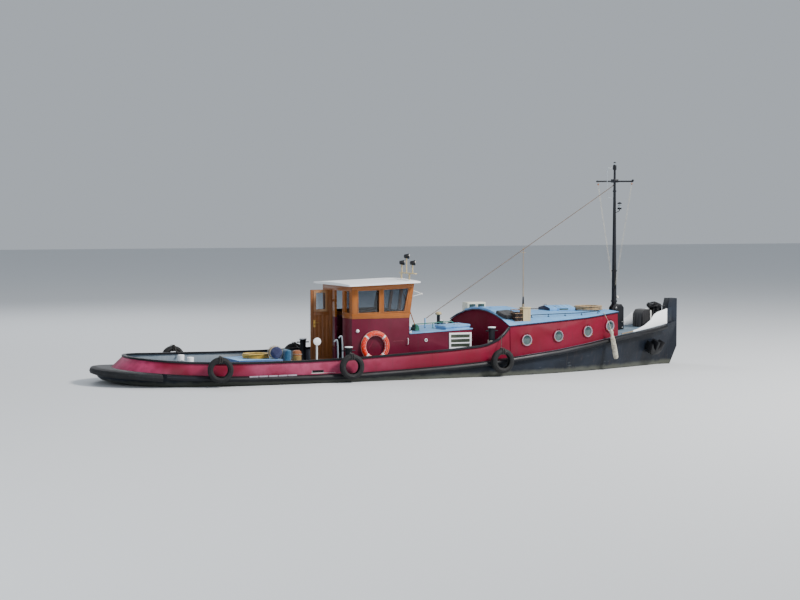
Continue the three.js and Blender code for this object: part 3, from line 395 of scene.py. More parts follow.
class Finish:
    """A node material under construction."""

    def __init__(self, name, **sockets):
        self.material = bpy.data.materials.new(name)
        self.material.use_nodes = True
        self.tree = self.material.node_tree
        self.shader = self.tree.nodes["Principled BSDF"]
        for socket, value in sockets.items():
            self.shader.inputs[socket.replace("_", " ")].default_value = value
        self.place = self.add("ShaderNodeTexCoord", out="Object")

    def wire(self, socket, value):
        if isinstance(value, bpy.types.NodeSocket):
            self.tree.links.new(value, socket)
        else:
            socket.default_value = value

    def add(self, kind, out=0, **inputs):
        node = self.tree.nodes.new(kind)
        for name, value in inputs.items():
            self.wire(node.inputs[name.replace("_", " ")], value)
        return node.outputs[out]

    def math(self, operation, *values):
        node = self.tree.nodes.new("ShaderNodeMath")
        node.operation = operation
        for socket, value in zip(node.inputs, values):
            self.wire(socket, value)
        return node.outputs[0]

    def mix(self, a, b, share):
        node = self.tree.nodes.new("ShaderNodeMix")
        node.data_type = "RGBA"
        for index, value in ((0, share), (6, a), (7, b)):
            self.wire(node.inputs[index], value)
        return node.outputs[2]

    def noise(self, size, detail=4.0, roughness=0.55, stretch=(1, 1, 1)):
        """Soft random patches about as wide as size, drawn out where stretch is under 1."""
        place = self.add("ShaderNodeMapping", Vector=self.place, Scale=stretch)
        return self.add("ShaderNodeTexNoise", Vector=place, Scale=1 / size, Detail=detail, Roughness=roughness)

    def step(self, value, low, high):
        """0 below low, 1 above high, and a smooth ramp between them."""
        node = self.tree.nodes.new("ShaderNodeMapRange")
        node.interpolation_type = "SMOOTHSTEP"
        for index, number in ((0, value), (1, low), (2, high), (3, 0.0), (4, 1.0)):
            self.wire(node.inputs[index], number)
        return node.outputs[0]

    def between(self, value, low, high):
        """Maps 0 to 1 onto low to high."""
        return self.add("ShaderNodeMapRange", Value=value, To_Min=low, To_Max=high)

    def axis(self, name):
        return self.add("ShaderNodeSeparateXYZ", out=name, Vector=self.place)

    def lines(self, axis, spacing, width):
        """1 on thin lines square to an axis, 0 elsewhere."""
        value = self.math("PINGPONG", self.math("ADD", self.axis(axis), 100 * spacing), spacing / 2)
        return self.math("SUBTRACT", 1.0, self.step(value, 0.0, width))

    def bump(self, height, distance, normal=None):
        inputs = {"Height": height, "Distance": distance, "Strength": 1.0}
        if normal is not None:
            inputs["Normal"] = normal
        return self.add("ShaderNodeBump", **inputs)

    def done(self, **sockets):
        for socket, value in sockets.items():
            self.wire(self.shader.inputs[socket.replace("_", " ")], value)
        return self.material


def rgb(red, green, blue):
    """A screen colour, 0 to 255, as Blender's linear colour."""
    def linear(value):
        value /= 255
        return value / 12.92 if value <= 0.04045 else ((value + 0.055) / 1.055) ** 2.4
    return (linear(red), linear(green), linear(blue), 1.0)


FINISHES = {}

# %% [markdown]
# Paint on a working boat is never one colour. It fades in broad patches, dirt runs down it in streaks,
# and small chips show the primer. One recipe makes all of these, and each paint gives its own colours
# and amounts. The plates under the paint are not quite flat either, which a slow bump shows in the gloss.

# %% Painted steel
GRIME = rgb(52, 46, 44)
STERN_SHEEN_PINK = rgb(214, 62, 118)       # painted sky reflection that turns the crimson pinker at the stern


def painted_steel(name, colour, faded, chip, roughness=0.34, coat=0.35, streaks=0.4, chips=0.69, seams=None,
                  sky_sheen=None, shine=0.25):
    paint = Finish(name, Coat_Weight=coat, Coat_Roughness=0.2, Specular_IOR_Level=shine)
    # Aft of midships, and most at the stern, the crimson is mixed towards pink: a painted reflection of the sky.
    if sky_sheen:
        aft_sheen_share = paint.math("SUBTRACT", 1.0, paint.step(paint.axis("X"), -3.4, 0.6))
        colour = paint.mix(colour, sky_sheen, paint.math("MULTIPLY", aft_sheen_share, paint.noise(0.8, detail=4)))
        stern = paint.math("SUBTRACT", 1.0, paint.step(paint.axis("X"), -6.6, -4.9))
        colour = paint.mix(colour, STERN_SHEEN_PINK, paint.math("MULTIPLY", stern, 0.5))
    base = paint.mix(colour, faded, paint.step(paint.noise(1.3, detail=3), 0.42, 0.66))
    mottle = paint.step(paint.noise(0.16, detail=5), 0.35, 0.75)
    base = paint.mix(base, faded, paint.math("MULTIPLY", mottle, 0.35))
    runs = paint.step(paint.noise(0.07, detail=3, stretch=(1, 1, 0.07)), 0.52, 0.78)
    base = paint.mix(base, GRIME, paint.math("MULTIPLY", runs, streaks))
    chipped = paint.step(paint.noise(0.05, detail=7, roughness=0.7), chips, chips + 0.02)
    base = paint.mix(base, chip, chipped)
    normal = paint.bump(paint.noise(0.7, detail=2), 0.012)
    if seams:
        weld = paint.lines("X", seams, 0.012)
        normal = paint.bump(weld, 0.002, normal)
        base = paint.mix(base, GRIME, paint.math("MULTIPLY", weld, 0.18))
    normal = paint.bump(paint.noise(0.006, detail=2), 0.00025, normal)
    normal = paint.bump(chipped, -0.0006, normal)
    rough = paint.between(paint.noise(0.3, detail=5), roughness - 0.1, roughness + 0.16)
    FINISHES[name] = paint.done(Base_Color=base, Roughness=rough, Normal=normal)


# The crimson's pink towards the stern is a painted reflection of the sky.
painted_steel("crimson", rgb(108, 0, 30), rgb(120, 6, 42), rgb(176, 120, 130), 0.4, 0.04, 0.2, 0.71, 1.9,
              sky_sheen=rgb(196, 92, 130))
painted_steel("maroon", rgb(90, 12, 38), rgb(102, 20, 48), rgb(130, 84, 90), 0.36, 0.1, 0.2, 0.73)
# The fore cabin's aft end: crimson without gloss, and darker, which is painted shade.
painted_steel("cabin_end", rgb(96, 0, 30), rgb(108, 4, 40), rgb(130, 84, 90), 0.6, 0.0, 0.1, 0.73, shine=0.06)
painted_steel("black", rgb(11, 12, 16), rgb(26, 28, 35), rgb(96, 92, 90), 0.45, 0.03, 0.12, 0.7)
painted_steel("white", rgb(251, 253, 255), rgb(242, 246, 250), rgb(170, 136, 112), 0.45, 0.15, 0.05, 0.78)
painted_steel("grey", rgb(132, 142, 152), rgb(158, 166, 172), rgb(120, 88, 70), 0.42, 0.1, 0.25, 0.7)
painted_steel("inboard_grey", rgb(132, 146, 158), rgb(152, 160, 166), rgb(120, 96, 80), 0.5, 0.03, 0.25, 0.7)
painted_steel("deck_blue", rgb(102, 158, 210), rgb(134, 182, 222), rgb(190, 200, 206), 0.45, 0.1, 0.1, 0.72)
# The darker blue of the aft hatch's sides is painted shade.
painted_steel("hatch_blue", rgb(52, 78, 128), rgb(84, 116, 164), rgb(150, 166, 186), 0.45, 0.1, 0.2, 0.7)
painted_steel("cream", rgb(220, 220, 202), rgb(196, 198, 182), rgb(128, 112, 88), 0.45, 0.1, 0.25, 0.72)
painted_steel("rim_grey", rgb(168, 156, 170), rgb(140, 134, 144), rgb(120, 84, 62), 0.42, 0.1, 0.25, 0.7)
painted_steel("buoy_orange", rgb(226, 44, 20), rgb(212, 58, 36), rgb(236, 150, 120), 0.45, 0.1, 0.1, 0.73)
painted_steel("band_white", rgb(236, 236, 232), rgb(218, 216, 210), rgb(180, 160, 140), 0.5, 0.05, 0.2, 0.74)
painted_steel("navy", rgb(16, 24, 52), rgb(28, 38, 70), rgb(110, 112, 120), 0.42, 0.1, 0.15, 0.71)
painted_steel("beige", rgb(194, 176, 134), rgb(176, 160, 122), rgb(128, 108, 84), 0.45, 0.1, 0.25, 0.72)
painted_steel("pole_brown", rgb(150, 132, 108), rgb(120, 106, 88), rgb(90, 70, 56), 0.5, 0.05, 0.3, 0.7)
painted_steel("hose_green", rgb(28, 104, 92), rgb(52, 124, 108), rgb(140, 160, 150), 0.5, 0.1, 0.2, 0.72)
painted_steel("engine_green", rgb(54, 92, 74), rgb(70, 104, 84), rgb(128, 96, 70), 0.42, 0.15, 0.4, 0.68)
painted_steel("mesh_olive", rgb(84, 90, 74), rgb(52, 62, 52), rgb(128, 96, 70), 0.42, 0.15, 0.4, 0.68)

# %% [markdown]
# The hull has the same kind of paint, but the water leaves a mark on it: a band of scum and scale a
# hand's breadth above the surface, and weed below. Height above the water is simply the Z coordinate,
# so a noise added to Z gives the band its ragged edge. The deck has its own non-slip paint, gritty and
# worn where people walk.

# %% Hull and deck paint
SEAMS = 1.9              # from one weld of the plating to the next
# The round stern seen from above is a superellipse
STERN_CENTRE, STERN_LONG, STERN_HALF, STERN_POWER = -4.5, 2.967, 1.808, 2.4


def hull_paint():
    paint = Finish("hull", Coat_Weight=0.04, Coat_Roughness=0.25, Specular_IOR_Level=0.25)
    base = paint.mix(rgb(15, 21, 31), rgb(28, 36, 48), paint.step(paint.noise(1.1, detail=4), 0.4, 0.68))
    scrapes = paint.step(paint.noise(0.05, detail=6, roughness=0.65, stretch=(0.12, 1, 1)), 0.6, 0.72)
    base = paint.mix(base, rgb(84, 90, 96), paint.math("MULTIPLY", scrapes, 0.45))
    runs = paint.step(paint.noise(0.06, detail=4, stretch=(1, 1, 0.08)), 0.56, 0.74)
    base = paint.mix(base, rgb(70, 54, 48), paint.math("MULTIPLY", runs, 0.25))
    height = paint.math("ADD", paint.axis("Z"), paint.between(paint.noise(0.22, detail=5), -0.07, 0.07))
    scum = paint.math("SUBTRACT", paint.step(height, -0.02, 0.02), paint.step(height, 0.05, 0.16))
    base = paint.mix(base, rgb(98, 100, 88), paint.math("MULTIPLY", scum, 0.5))
    below = paint.math("SUBTRACT", 1.0, paint.step(height, -0.08, 0.0))
    weed = paint.mix(rgb(52, 24, 24), rgb(50, 58, 42), paint.noise(0.3, detail=6))
    base = paint.mix(base, weed, below)
    normal = paint.bump(paint.noise(0.8, detail=2), 0.016)
    normal = paint.bump(paint.lines("X", SEAMS, 0.014), 0.0025, normal)
    normal = paint.bump(paint.noise(0.01, detail=4), 0.0005, normal)
    rough = paint.between(paint.noise(0.25, detail=5), 0.34, 0.62)
    return paint.done(Base_Color=base, Roughness=rough, Normal=normal)


def deck_paint():
    paint = Finish("deck", Coat_Weight=0.05)
    base = paint.mix(rgb(90, 112, 130), rgb(112, 130, 144), paint.step(paint.noise(0.9, detail=4), 0.38, 0.66))
    worn = paint.step(paint.noise(0.2, detail=6, roughness=0.65), 0.56, 0.7)
    base = paint.mix(base, rgb(142, 146, 144), paint.math("MULTIPLY", worn, 0.5))
    stains = paint.step(paint.noise(0.5, detail=5), 0.6, 0.75)
    base = paint.mix(base, rgb(92, 82, 70), paint.math("MULTIPLY", stains, 0.35))
    # Outside the bulwark of the round stern the ledge is black, like the fender beside it
    aft = paint.math("MAXIMUM", paint.math("SUBTRACT", STERN_CENTRE, paint.axis("X")), 0.0)
    along = paint.math("POWER", paint.math("DIVIDE", aft, STERN_LONG), STERN_POWER)
    out = paint.math("ABSOLUTE", paint.axis("Y"))
    across = paint.math("POWER", paint.math("DIVIDE", out, STERN_HALF), STERN_POWER)
    base = paint.mix(base, rgb(22, 23, 28), paint.step(paint.math("ADD", along, across), 0.955, 0.96))
    grit = paint.noise(0.004, detail=2, roughness=0.7)
    normal = paint.bump(grit, 0.0012, paint.bump(paint.noise(0.6, detail=2), 0.008))
    return paint.done(Base_Color=base, Roughness=paint.between(grit, 0.5, 0.8), Normal=normal)


FINISHES["hull"] = hull_paint()
FINISHES["deck"] = deck_paint()

# %% [markdown]
# The wheelhouse is oiled and varnished hardwood. Grain is noise drawn out along the board, so there is
# one recipe with the board's direction as its argument, and a warm clear coat goes over it.

# %% Varnished wood


def varnished(name, along, light=rgb(166, 96, 34), dark=rgb(118, 64, 22)):
    draw = {"X": (0.05, 1, 1), "Y": (1, 0.05, 1), "Z": (1, 1, 0.05)}[along]
    wood = Finish(name, Coat_Weight=0.35, Coat_Roughness=0.15, Specular_IOR_Level=0.25)
    grain = wood.noise(0.012, detail=6, roughness=0.7, stretch=draw)
    figure = wood.noise(0.09, detail=3, stretch=draw)
    base = wood.mix(light, dark, wood.step(grain, 0.38, 0.72))
    base = wood.mix(base, rgb(134, 76, 28), wood.math("MULTIPLY", wood.step(figure, 0.4, 0.65), 0.6))
    weathered = wood.step(wood.noise(0.45, detail=5), 0.56, 0.74)
    base = wood.mix(base, rgb(180, 112, 46), wood.math("MULTIPLY", weathered, 0.4))
    normal = wood.bump(grain, 0.0006)
    rough = wood.between(wood.noise(0.2, detail=4), 0.3, 0.5)
    FINISHES[name] = wood.done(Base_Color=base, Roughness=rough, Normal=normal)


for direction in "XYZ":
    varnished("wood_" + direction, direction)
varnished("door_wood", "Z", rgb(134, 84, 48), rgb(92, 52, 28))
varnished("door_bead", "Z", rgb(168, 132, 98), rgb(124, 90, 62))
varnished("bead_wood", "Z", rgb(176, 110, 58), rgb(120, 66, 30))

# %% [markdown]
# Rubber, rope, canvas, glass and bare metal need no paint. Old rubber is matt and dusty, rope is fuzzy
# with fibres much finer than its strands, and brass and bronze go brown where nobody polishes them.

# %% Rubber, rope, canvas, glass and metal


def rubber(name, colour, dust):
    skin = Finish(name)
    base = skin.mix(colour, dust, skin.step(skin.noise(0.12, detail=6, roughness=0.65), 0.5, 0.75))
    scuffs = skin.step(skin.noise(0.03, detail=5, stretch=(0.3, 1, 1)), 0.62, 0.72)
    base = skin.mix(base, rgb(96, 96, 94), skin.math("MULTIPLY", scuffs, 0.2))
    normal = skin.bump(skin.noise(0.008, detail=4), 0.0008)
    rough = skin.between(skin.noise(0.1, detail=4), 0.6, 0.9)
    FINISHES[name] = skin.done(Base_Color=base, Roughness=rough, Normal=normal)


def rope_fibre(name, colour, dirty, fleck):
    fibre = Finish(name, Sheen_Weight=0.25, Sheen_Roughness=0.5)
    base = fibre.mix(colour, dirty, fibre.step(fibre.noise(0.09, detail=4), 0.4, 0.7))
    flecks = fibre.step(fibre.noise(0.008, detail=3), 0.6, 0.66)
    base = fibre.mix(base, fleck, fibre.math("MULTIPLY", flecks, 0.6))
    normal = fibre.bump(fibre.noise(0.0025, detail=3, roughness=0.7), 0.0008)
    FINISHES[name] = fibre.done(Base_Color=base, Roughness=0.85, Normal=normal)


def metal(name, colour, tarnish, roughness):
    bare = Finish(name, Metallic=1.0)
    spots = bare.step(bare.noise(0.05, detail=6, roughness=0.65), 0.42, 0.66)
    base = bare.mix(colour, tarnish, spots)
    rough = bare.between(bare.noise(0.03, detail=5), roughness - 0.1, roughness + 0.2)
    normal = bare.bump(bare.noise(0.004, detail=3), 0.0003)
    FINISHES[name] = bare.done(Base_Color=base, Roughness=rough, Normal=normal)


def clear_glass(name, tint):
    glass = Finish(name, Transmission_Weight=1.0, IOR=1.45, Roughness=0.02)
    smears = glass.step(glass.noise(0.3, detail=5, stretch=(1, 1, 0.4)), 0.45, 0.8)
    rough = glass.between(smears, 0.01, 0.09)
    tinted = glass.mix(tint, rgb(226, 232, 230), glass.math("MULTIPLY", smears, 0.12))
    FINISHES[name] = glass.done(Base_Color=tinted, Roughness=rough)


rubber("fender_rubber", rgb(16, 17, 21), rgb(34, 36, 41))
rubber("tyre_rubber", rgb(8, 9, 12), rgb(26, 27, 30))
rope_fibre("yellow_rope", rgb(206, 168, 60), rgb(160, 130, 66), rgb(96, 84, 50))
rope_fibre("brown_rope", rgb(112, 80, 52), rgb(78, 60, 46), rgb(152, 122, 84))
rope_fibre("tan_rope", rgb(172, 146, 104), rgb(128, 106, 78), rgb(196, 92, 66))
rope_fibre("pale_rope", rgb(200, 194, 176), rgb(156, 148, 130), rgb(110, 104, 92))
rope_fibre("fender_rope", rgb(206, 202, 186), rgb(134, 124, 106), rgb(60, 54, 46))
rope_fibre("dark_rope", rgb(54, 50, 46), rgb(40, 37, 35), rgb(92, 86, 78))
metal("bronze", rgb(176, 136, 74), rgb(110, 92, 58), 0.35)
metal("steel", rgb(150, 152, 154), rgb(96, 92, 88), 0.4)
metal("brass", rgb(206, 168, 92), rgb(140, 108, 60), 0.28)
metal("wire_brown", rgb(134, 110, 88), rgb(92, 76, 64), 0.5)
rope_fibre("green_bristle", rgb(24, 92, 74), rgb(40, 112, 88), rgb(120, 150, 120))
clear_glass("window_glass", rgb(156, 166, 176))
clear_glass("lamp_glass", rgb(226, 232, 234))


def shade_painted_glass(name, colour, other):
    """Thick glass with nothing to see behind it, whose dark colour is painted shade for the unlit room that it would
    show.
    """
    glass = Finish(name, Coat_Weight=1.0, Coat_Roughness=0.03)
    base = glass.mix(colour, other, glass.step(glass.noise(0.12, detail=3), 0.35, 0.7))
    FINISHES[name] = glass.done(Base_Color=base, Roughness=glass.between(glass.noise(0.05), 0.05, 0.16))


def canvas(name, colour, faded):
    """Waxed canvas: a plain weave too fine to count, with faded and dirty patches."""
    cloth = Finish(name, Sheen_Weight=0.2, Sheen_Roughness=0.5)
    base = cloth.mix(colour, faded, cloth.step(cloth.noise(0.14, detail=5), 0.4, 0.7))
    weave = cloth.math("ADD", cloth.lines("X", 0.004, 0.0016), cloth.lines("Z", 0.004, 0.0016))
    normal = cloth.bump(weave, 0.0005, cloth.bump(cloth.noise(0.03, detail=4), 0.003))
    FINISHES[name] = cloth.done(Base_Color=base, Roughness=cloth.between(cloth.noise(0.06), 0.65, 0.9),
                                Normal=normal)


# Dark glass for portholes and panes: its darkness is painted shade for the unlit room behind.
shade_painted_glass("porthole_glass", rgb(22, 46, 48), rgb(38, 78, 76))
canvas("black_canvas", rgb(14, 14, 18), rgb(30, 30, 35))
canvas("navy_canvas", rgb(34, 40, 84), rgb(58, 66, 106))
canvas("tan_canvas", rgb(168, 132, 66), rgb(132, 104, 60))
canvas("blue_canvas", rgb(34, 88, 124), rgb(62, 112, 140))
canvas("rust_canvas", rgb(150, 84, 44), rgb(176, 112, 66))
print(len(FINISHES), "finishes")

# %% [markdown]
# Now the pieces. The frame's solids have the right shapes, but their edges are knife sharp and their
# curves are made of flat facets. A welded copy with its edges bevelled and its shading smoothed catches
# the light like cast, rolled or planed material, and stands for the solid it was copied from.

# %% Helpers for working on a piece
SLOT_OF = {row["node"]: row["material_slot"] for row in frame["record"]["subparts"]}
SIDES = {"starboard": -1, "port": 1}


def leave_edit():
    bpy.ops.object.mode_set(mode="OBJECT")


def pick_all(piece):
    """Goes into edit mode with all of a piece selected."""
    work_on(piece)
    bpy.ops.object.mode_set(mode="EDIT")
    bpy.ops.mesh.select_all(action="SELECT")


def pick(piece, test):
    """Goes into edit mode with only the faces selected whose middle and direction pass a test."""
    work_on(piece)
    bpy.ops.object.mode_set(mode="EDIT")
    bpy.ops.mesh.select_mode(type="FACE")
    bpy.ops.mesh.select_all(action="DESELECT")
    leave_edit()
    for face in piece.data.polygons:
        face.select = test(face.center, face.normal)
    bpy.ops.object.mode_set(mode="EDIT")


def modify(piece, kind, **settings):
    """Adds a modifier and applies it at once."""
    work_on(piece)
    modifier = piece.modifiers.new(kind.lower(), kind)
    for name, value in settings.items():
        setattr(modifier, name, value)
    bpy.ops.object.modifier_apply(modifier=modifier.name)


def soften(piece, width=0.0, angle=35, segments=2):
    """Bevels the edges sharper than an angle, and shades the rest smooth."""
    if width:
        modify(piece, "BEVEL", width=width, segments=segments, limit_method="ANGLE",
               angle_limit=math.radians(angle), use_clamp_overlap=True)
    work_on(piece)
    bpy.ops.object.shade_smooth_by_angle(angle=math.radians(angle))


def coat(piece, finish, test=None):
    """Gives a piece a finish, or only the faces that pass a test."""
    mesh = piece.data
    names = [material.name for material in mesh.materials if material]
    material = FINISHES[finish]
    if material.name not in names:
        mesh.materials.append(material)
        names.append(material.name)
    index = names.index(material.name)
    for face in mesh.polygons:
        if test is None or test(face.center, face.normal):
            face.material_index = index
    return piece


def welded_copy(node, name=None):
    """A copy of a frame node as one welded mesh, with its flat faces whole again."""
    piece = placed(name or node + "_skin", frame["nodes"][node].data.copy())
    piece.data.materials.clear()
    work_on(piece)
    bpy.ops.mesh.customdata_custom_splitnormals_clear()
    pick_all(piece)
    bpy.ops.mesh.remove_doubles(threshold=1e-5)
    bpy.ops.mesh.dissolve_limited(angle_limit=math.radians(0.3))
    leave_edit()
    return piece


def stands_for(piece, *nodes):
    """A piece rides with the frame nodes it takes the place of, and has their finish slot."""
    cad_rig.ride(piece, frame["nodes"][nodes[0]]["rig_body"])
    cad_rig.replaces(piece, *nodes)
    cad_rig.slot(piece, SLOT_OF[nodes[0]])
    return piece


def adds_to(piece, node):
    """A piece rides with a frame node that it is fastened to."""
    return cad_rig.ride(piece, frame["nodes"][node]["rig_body"])


# %% Soften and paint the solids
# Finish, bevel width and the angle below which shading is smooth, with the nodes that have them. A node
# name that ends in * is there on both sides.
SKINS = {
    ("black", 0.002, 40): "mast",
    ("black", 0.003, 40): "windlass_frame",
    ("black", 0.004, 40): "rubbing_strake_* vent_mushroom bollard_mid_* bollard_fore_* windlass_drum tabernacle",
    ("black", 0.008, 40): "rail_cap anchor",
    ("fender_rubber", 0.006, 40): "stern_fender",
    ("white", 0, 60): "lifebuoy",
    ("white", 0.003, 40): "work_lamp",
    ("white", 0.004, 30): "louvre_*",
    ("white", 0.006, 40): "bow_bulwark_*",
    ("white", 0.008, 30): "wheelhouse_roof",
    ("deck_blue", 0.004, 30): "casing_roof",
    ("deck_blue", 0.005, 30): "casing_hatch_lid",
    ("deck_blue", 0.006, 30): "fore_cabin_roof roof_locker skylight",
    ("deck_blue", 0.008, 30): "roof_hatch",
    ("deck_blue", 0.012, 30): "aft_hatch",
    ("maroon", 0.006, 30): "engine_casing wheelhouse_lower",
    ("wood_X", 0.003, 30): "wheelhouse_upper",
    ("wood_Y", 0.006, 30): "helm_console",
    ("wood_Y", 0.002, 50): "steering_wheel",
    ("door_wood", 0.003, 30): "wheelhouse_door",
    ("beige", 0.002, 40): "lamp_rack",
    ("grey", 0.004, 40): "towing_bitt",
    ("wire_brown", 0, 60): "backstay",
    ("pole_brown", 0.001, 40): "aerial_pole",
    ("engine_green", 0.008, 30): "engine_block",
    ("bronze", 0.002, 50): "propeller",
    ("hull", 0.004, 40): "rudder",
}
LAMPS = [(-0.22, 2.79), (-0.51, 2.955), (-0.89, 2.80)]     # across the boat, height
WHITE_END = 7.45         # the bow's white paint stops short of the stem
# Columns: node, finish, which of its faces have it
PATCHES = [
    ("bow_bulwark_*", "hull", lambda centre, normal: centre.x > WHITE_END),
    ("fore_cabin_roof", "navy", lambda centre, normal: abs(normal.z) < 0.35),
    # The aft hatch's sides are darker blue: painted shade.
    ("aft_hatch", "hatch_blue", lambda centre, normal: normal.z < 0.6),
    ("roof_hatch", "navy", lambda centre, normal: normal.x < -0.8),
    ("lamp_rack", "black", lambda centre, normal: min(
        math.hypot(centre.y - y, centre.z - z) for y, z in LAMPS) < 0.066),
    ("vent_mushroom", "beige", lambda centre, normal: centre.z > 1.44),
    ("towing_bitt", "black", lambda centre, normal: centre.z < 0.36),
]


def both_sides(name):
    return [name.replace("*", side) for side in SIDES] if "*" in name else [name]


skins = {}
for (finish, width, angle), names in SKINS.items():
    for node in (node for name in names.split() for node in both_sides(name)):
        skin = coat(welded_copy(node), finish)
        if node.startswith("bow_bulwark"):
            pick_all(skin)
            bpy.ops.mesh.bisect(plane_co=(WHITE_END, 0, 0), plane_no=(1, 0, 0))
            leave_edit()
        soften(skin, width, angle)
        skins[node] = stands_for(skin, node)
for name, finish, test in PATCHES:
    for node in both_sides(name):
        coat(skins[node], finish, test)
for node in ("glass_starboard", "glass_port", "glass_front", "glass_aft", "door_glass"):
    frame["nodes"][node].data.materials.clear()
    frame["nodes"][node].data.materials.append(FINISHES["window_glass"])
print(len(skins), "skins")

# %% [markdown]
# Three solids carry more than one paint. The hull is charcoal outside and has a grey-blue deck, the
# bulwark is crimson outside and grey inside, and the cabin's aft end is darker than its sides: painted shade,
# as that end faces away from the light.
# A face knows where it is and which way it looks, so a test on those two picks its paint.

# %% Hull, bulwark and fore cabin
STEM_AFT = 7.6


def looks_inboard(centre, normal):
    """True where a face looks towards the middle line, or towards the middle of the round stern."""
    along = centre.x - max(centre.x, STERN_CENTRE)
    return normal.x * along + normal.y * centre.y < -0.2 * math.hypot(along, centre.y)


hull = welded_copy("hull")
coat(hull, "hull")
coat(hull, "deck", lambda centre, normal: normal.z > 0.9 and centre.z > 0.15 and centre.x < STEM_AFT)
soften(hull, 0.008, 30)
stands_for(hull, "hull")

bulwark = welded_copy("bulwark")
coat(bulwark, "crimson")
coat(bulwark, "inboard_grey", looks_inboard)
soften(bulwark, 0.003, 30)
stands_for(bulwark, "bulwark")

cabin = welded_copy("fore_cabin")
coat(cabin, "crimson")
# The aft end's darker paint is painted shade, as that end faces away from the light.
coat(cabin, "cabin_end", lambda centre, normal: normal.x < -0.95 and centre.x < 2.2)
soften(cabin, 0.006, 30)
stands_for(cabin, "fore_cabin")

for name, finish in (("yellow", "yellow_rope"), ("brown", "brown_rope"), ("roof", "tan_rope")):
    coat(ropes[f"rope_coil_{name}"], finish)
print("hull, bulwark and cabin:", [len(piece.data.polygons) for piece in (hull, bulwark, cabin)])

# %% [markdown]
# The rest of the boat is small pieces, modelled from primitives. Most of them are one of four kinds: a
# block between two corners, a body turned on a lathe, a bar along some points, or a flat board. A helper
# for each kind keeps the cells that follow short.

# %% Helpers for new pieces


def settle(piece):
    """Puts a piece's place, turn and size into its mesh, so that its object sits at the origin."""
    work_on(piece)
    bpy.ops.object.transform_apply(location=True, rotation=True, scale=True)
    return piece


def face_out(piece):
    """Turns every face of a closed piece outwards."""
    pick_all(piece)
    bpy.ops.mesh.normals_make_consistent(inside=False)
    leave_edit()
    return piece


def newest(name):
    """The piece that was just added, under its own name."""
    piece = bpy.context.active_object
    piece.name = piece.data.name = name
    return piece


def leave_all():
    if bpy.context.mode != "OBJECT":
        leave_edit()
    bpy.ops.object.select_all(action="DESELECT")


def block(name, low, high):
    """A block between two corners."""
    leave_all()
    middle = [(a + b) / 2 for a, b in zip(low, high)]
    bpy.ops.mesh.primitive_cube_add(size=1, location=middle, scale=[b - a for a, b in zip(low, high)])
    return settle(newest(name))


def turned(name, profile, place=(0, 0, 0), towards=(0, 0, 1), sides=24, closed=True):
    """A body turned on a lathe. The profile is (radius, distance along the axis) from one end to the
    other, with a flat face at both ends, or with closed=False an open shell."""
    leave_all()
    radius, along = profile[0]
    bpy.ops.mesh.primitive_circle_add(radius=radius, vertices=sides, location=(0, 0, along),
                                      fill_type="NGON" if closed else "NOTHING")
    piece = newest(name)
    bpy.ops.object.mode_set(mode="EDIT")
    bpy.ops.mesh.select_mode(type="VERT")
    bpy.ops.mesh.select_all(action="SELECT")
    for wider, further in profile[1:]:
        bpy.ops.mesh.extrude_region_move(TRANSFORM_OT_translate={"value": (0, 0, further - along)})
        scale = wider / radius
        bpy.ops.transform.resize(value=(scale, scale, 1), center_override=(0, 0, further))
        radius, along = wider, further
    bpy.ops.mesh.select_all(action="SELECT")
    bpy.ops.mesh.remove_doubles(threshold=1e-6)
    leave_edit()
    face_out(settle(piece))
    piece.rotation_euler = Vector(towards).to_track_quat("Z", "Y").to_euler()
    piece.location = place
    return settle(piece)


def bar(name, points, thick, sides=8, loop=False):
    """A round bar or wire along a list of points."""
    curve = bpy.data.curves.new(name, "CURVE")
    curve.dimensions = "3D"
    curve.bevel_depth = thick / 2
    curve.bevel_resolution = (sides - 4) // 2
    curve.use_fill_caps = True
    spline = curve.splines.new("POLY")
    spline.points.add(len(points) - 1)
    for point, place in zip(spline.points, points):
        point.co = (*place, 1)
    spline.use_cyclic_u = loop
    work_on(placed(name, curve))
    bpy.ops.object.convert(target="MESH")
    piece = newest(name)
    bpy.ops.object.shade_smooth_by_angle(angle=math.radians(50))
    return piece


def board(name, corners, thick, frame_width=None):
    """A flat board between four corners, anticlockwise as seen from outside, that grows outwards.
    With a frame width its middle is open."""
    leave_all()
    bpy.ops.mesh.primitive_plane_add(size=1)
    piece = newest(name)
    for index, corner in zip((0, 1, 3, 2), corners):
        piece.data.vertices[index].co = corner
    if frame_width:
        pick_all(piece)
        bpy.ops.mesh.inset(thickness=frame_width, depth=0)
        bpy.ops.mesh.delete(type="FACE")
        leave_edit()
    modify(piece, "SOLIDIFY", thickness=thick, offset=1)
    return piece


def joined(name, pieces):
    leave_all()
    for piece in pieces:
        piece.select_set(True)
    bpy.context.view_layer.objects.active = pieces[0]
    if len(pieces) > 1:
        bpy.ops.object.join()
    return newest(name)


def fitting(name, pieces, node, finish=None, bevel=0.0, angle=40, segments=1):
    """Joins parts into one piece that is fastened to a frame node. Without a finish they keep their own."""
    whole = joined(name, pieces)
    if finish:
        coat(whole, finish)
    soften(whole, bevel, angle, segments)
    return adds_to(whole, node)


def copy_of(piece, name, move, turn):
    """A copy with its own mesh, turned and moved."""
    copy = placed(name, piece.data.copy())
    copy.rotation_euler = turn
    copy.location = move
    return settle(copy)


def tree_of(mesh):
    """A mesh's surface as a tree that rays can be cast at."""
    return BVHTree.FromPolygons([corner.co for corner in mesh.vertices],
                                [face.vertices for face in mesh.polygons])


def above(height):
    return Vector((0, 0, height))


DOWNWARDS = above(-1)
SURFACES = {}


def surface_of(node):
    if node not in SURFACES:
        SURFACES[node] = tree_of(frame["nodes"][node].data)
    return SURFACES[node]


def look_down(node, x, y):
    """The point of a frame node's surface that is seen from above."""
    return surface_of(node).ray_cast(Vector((x, y, 10)), DOWNWARDS)[0]


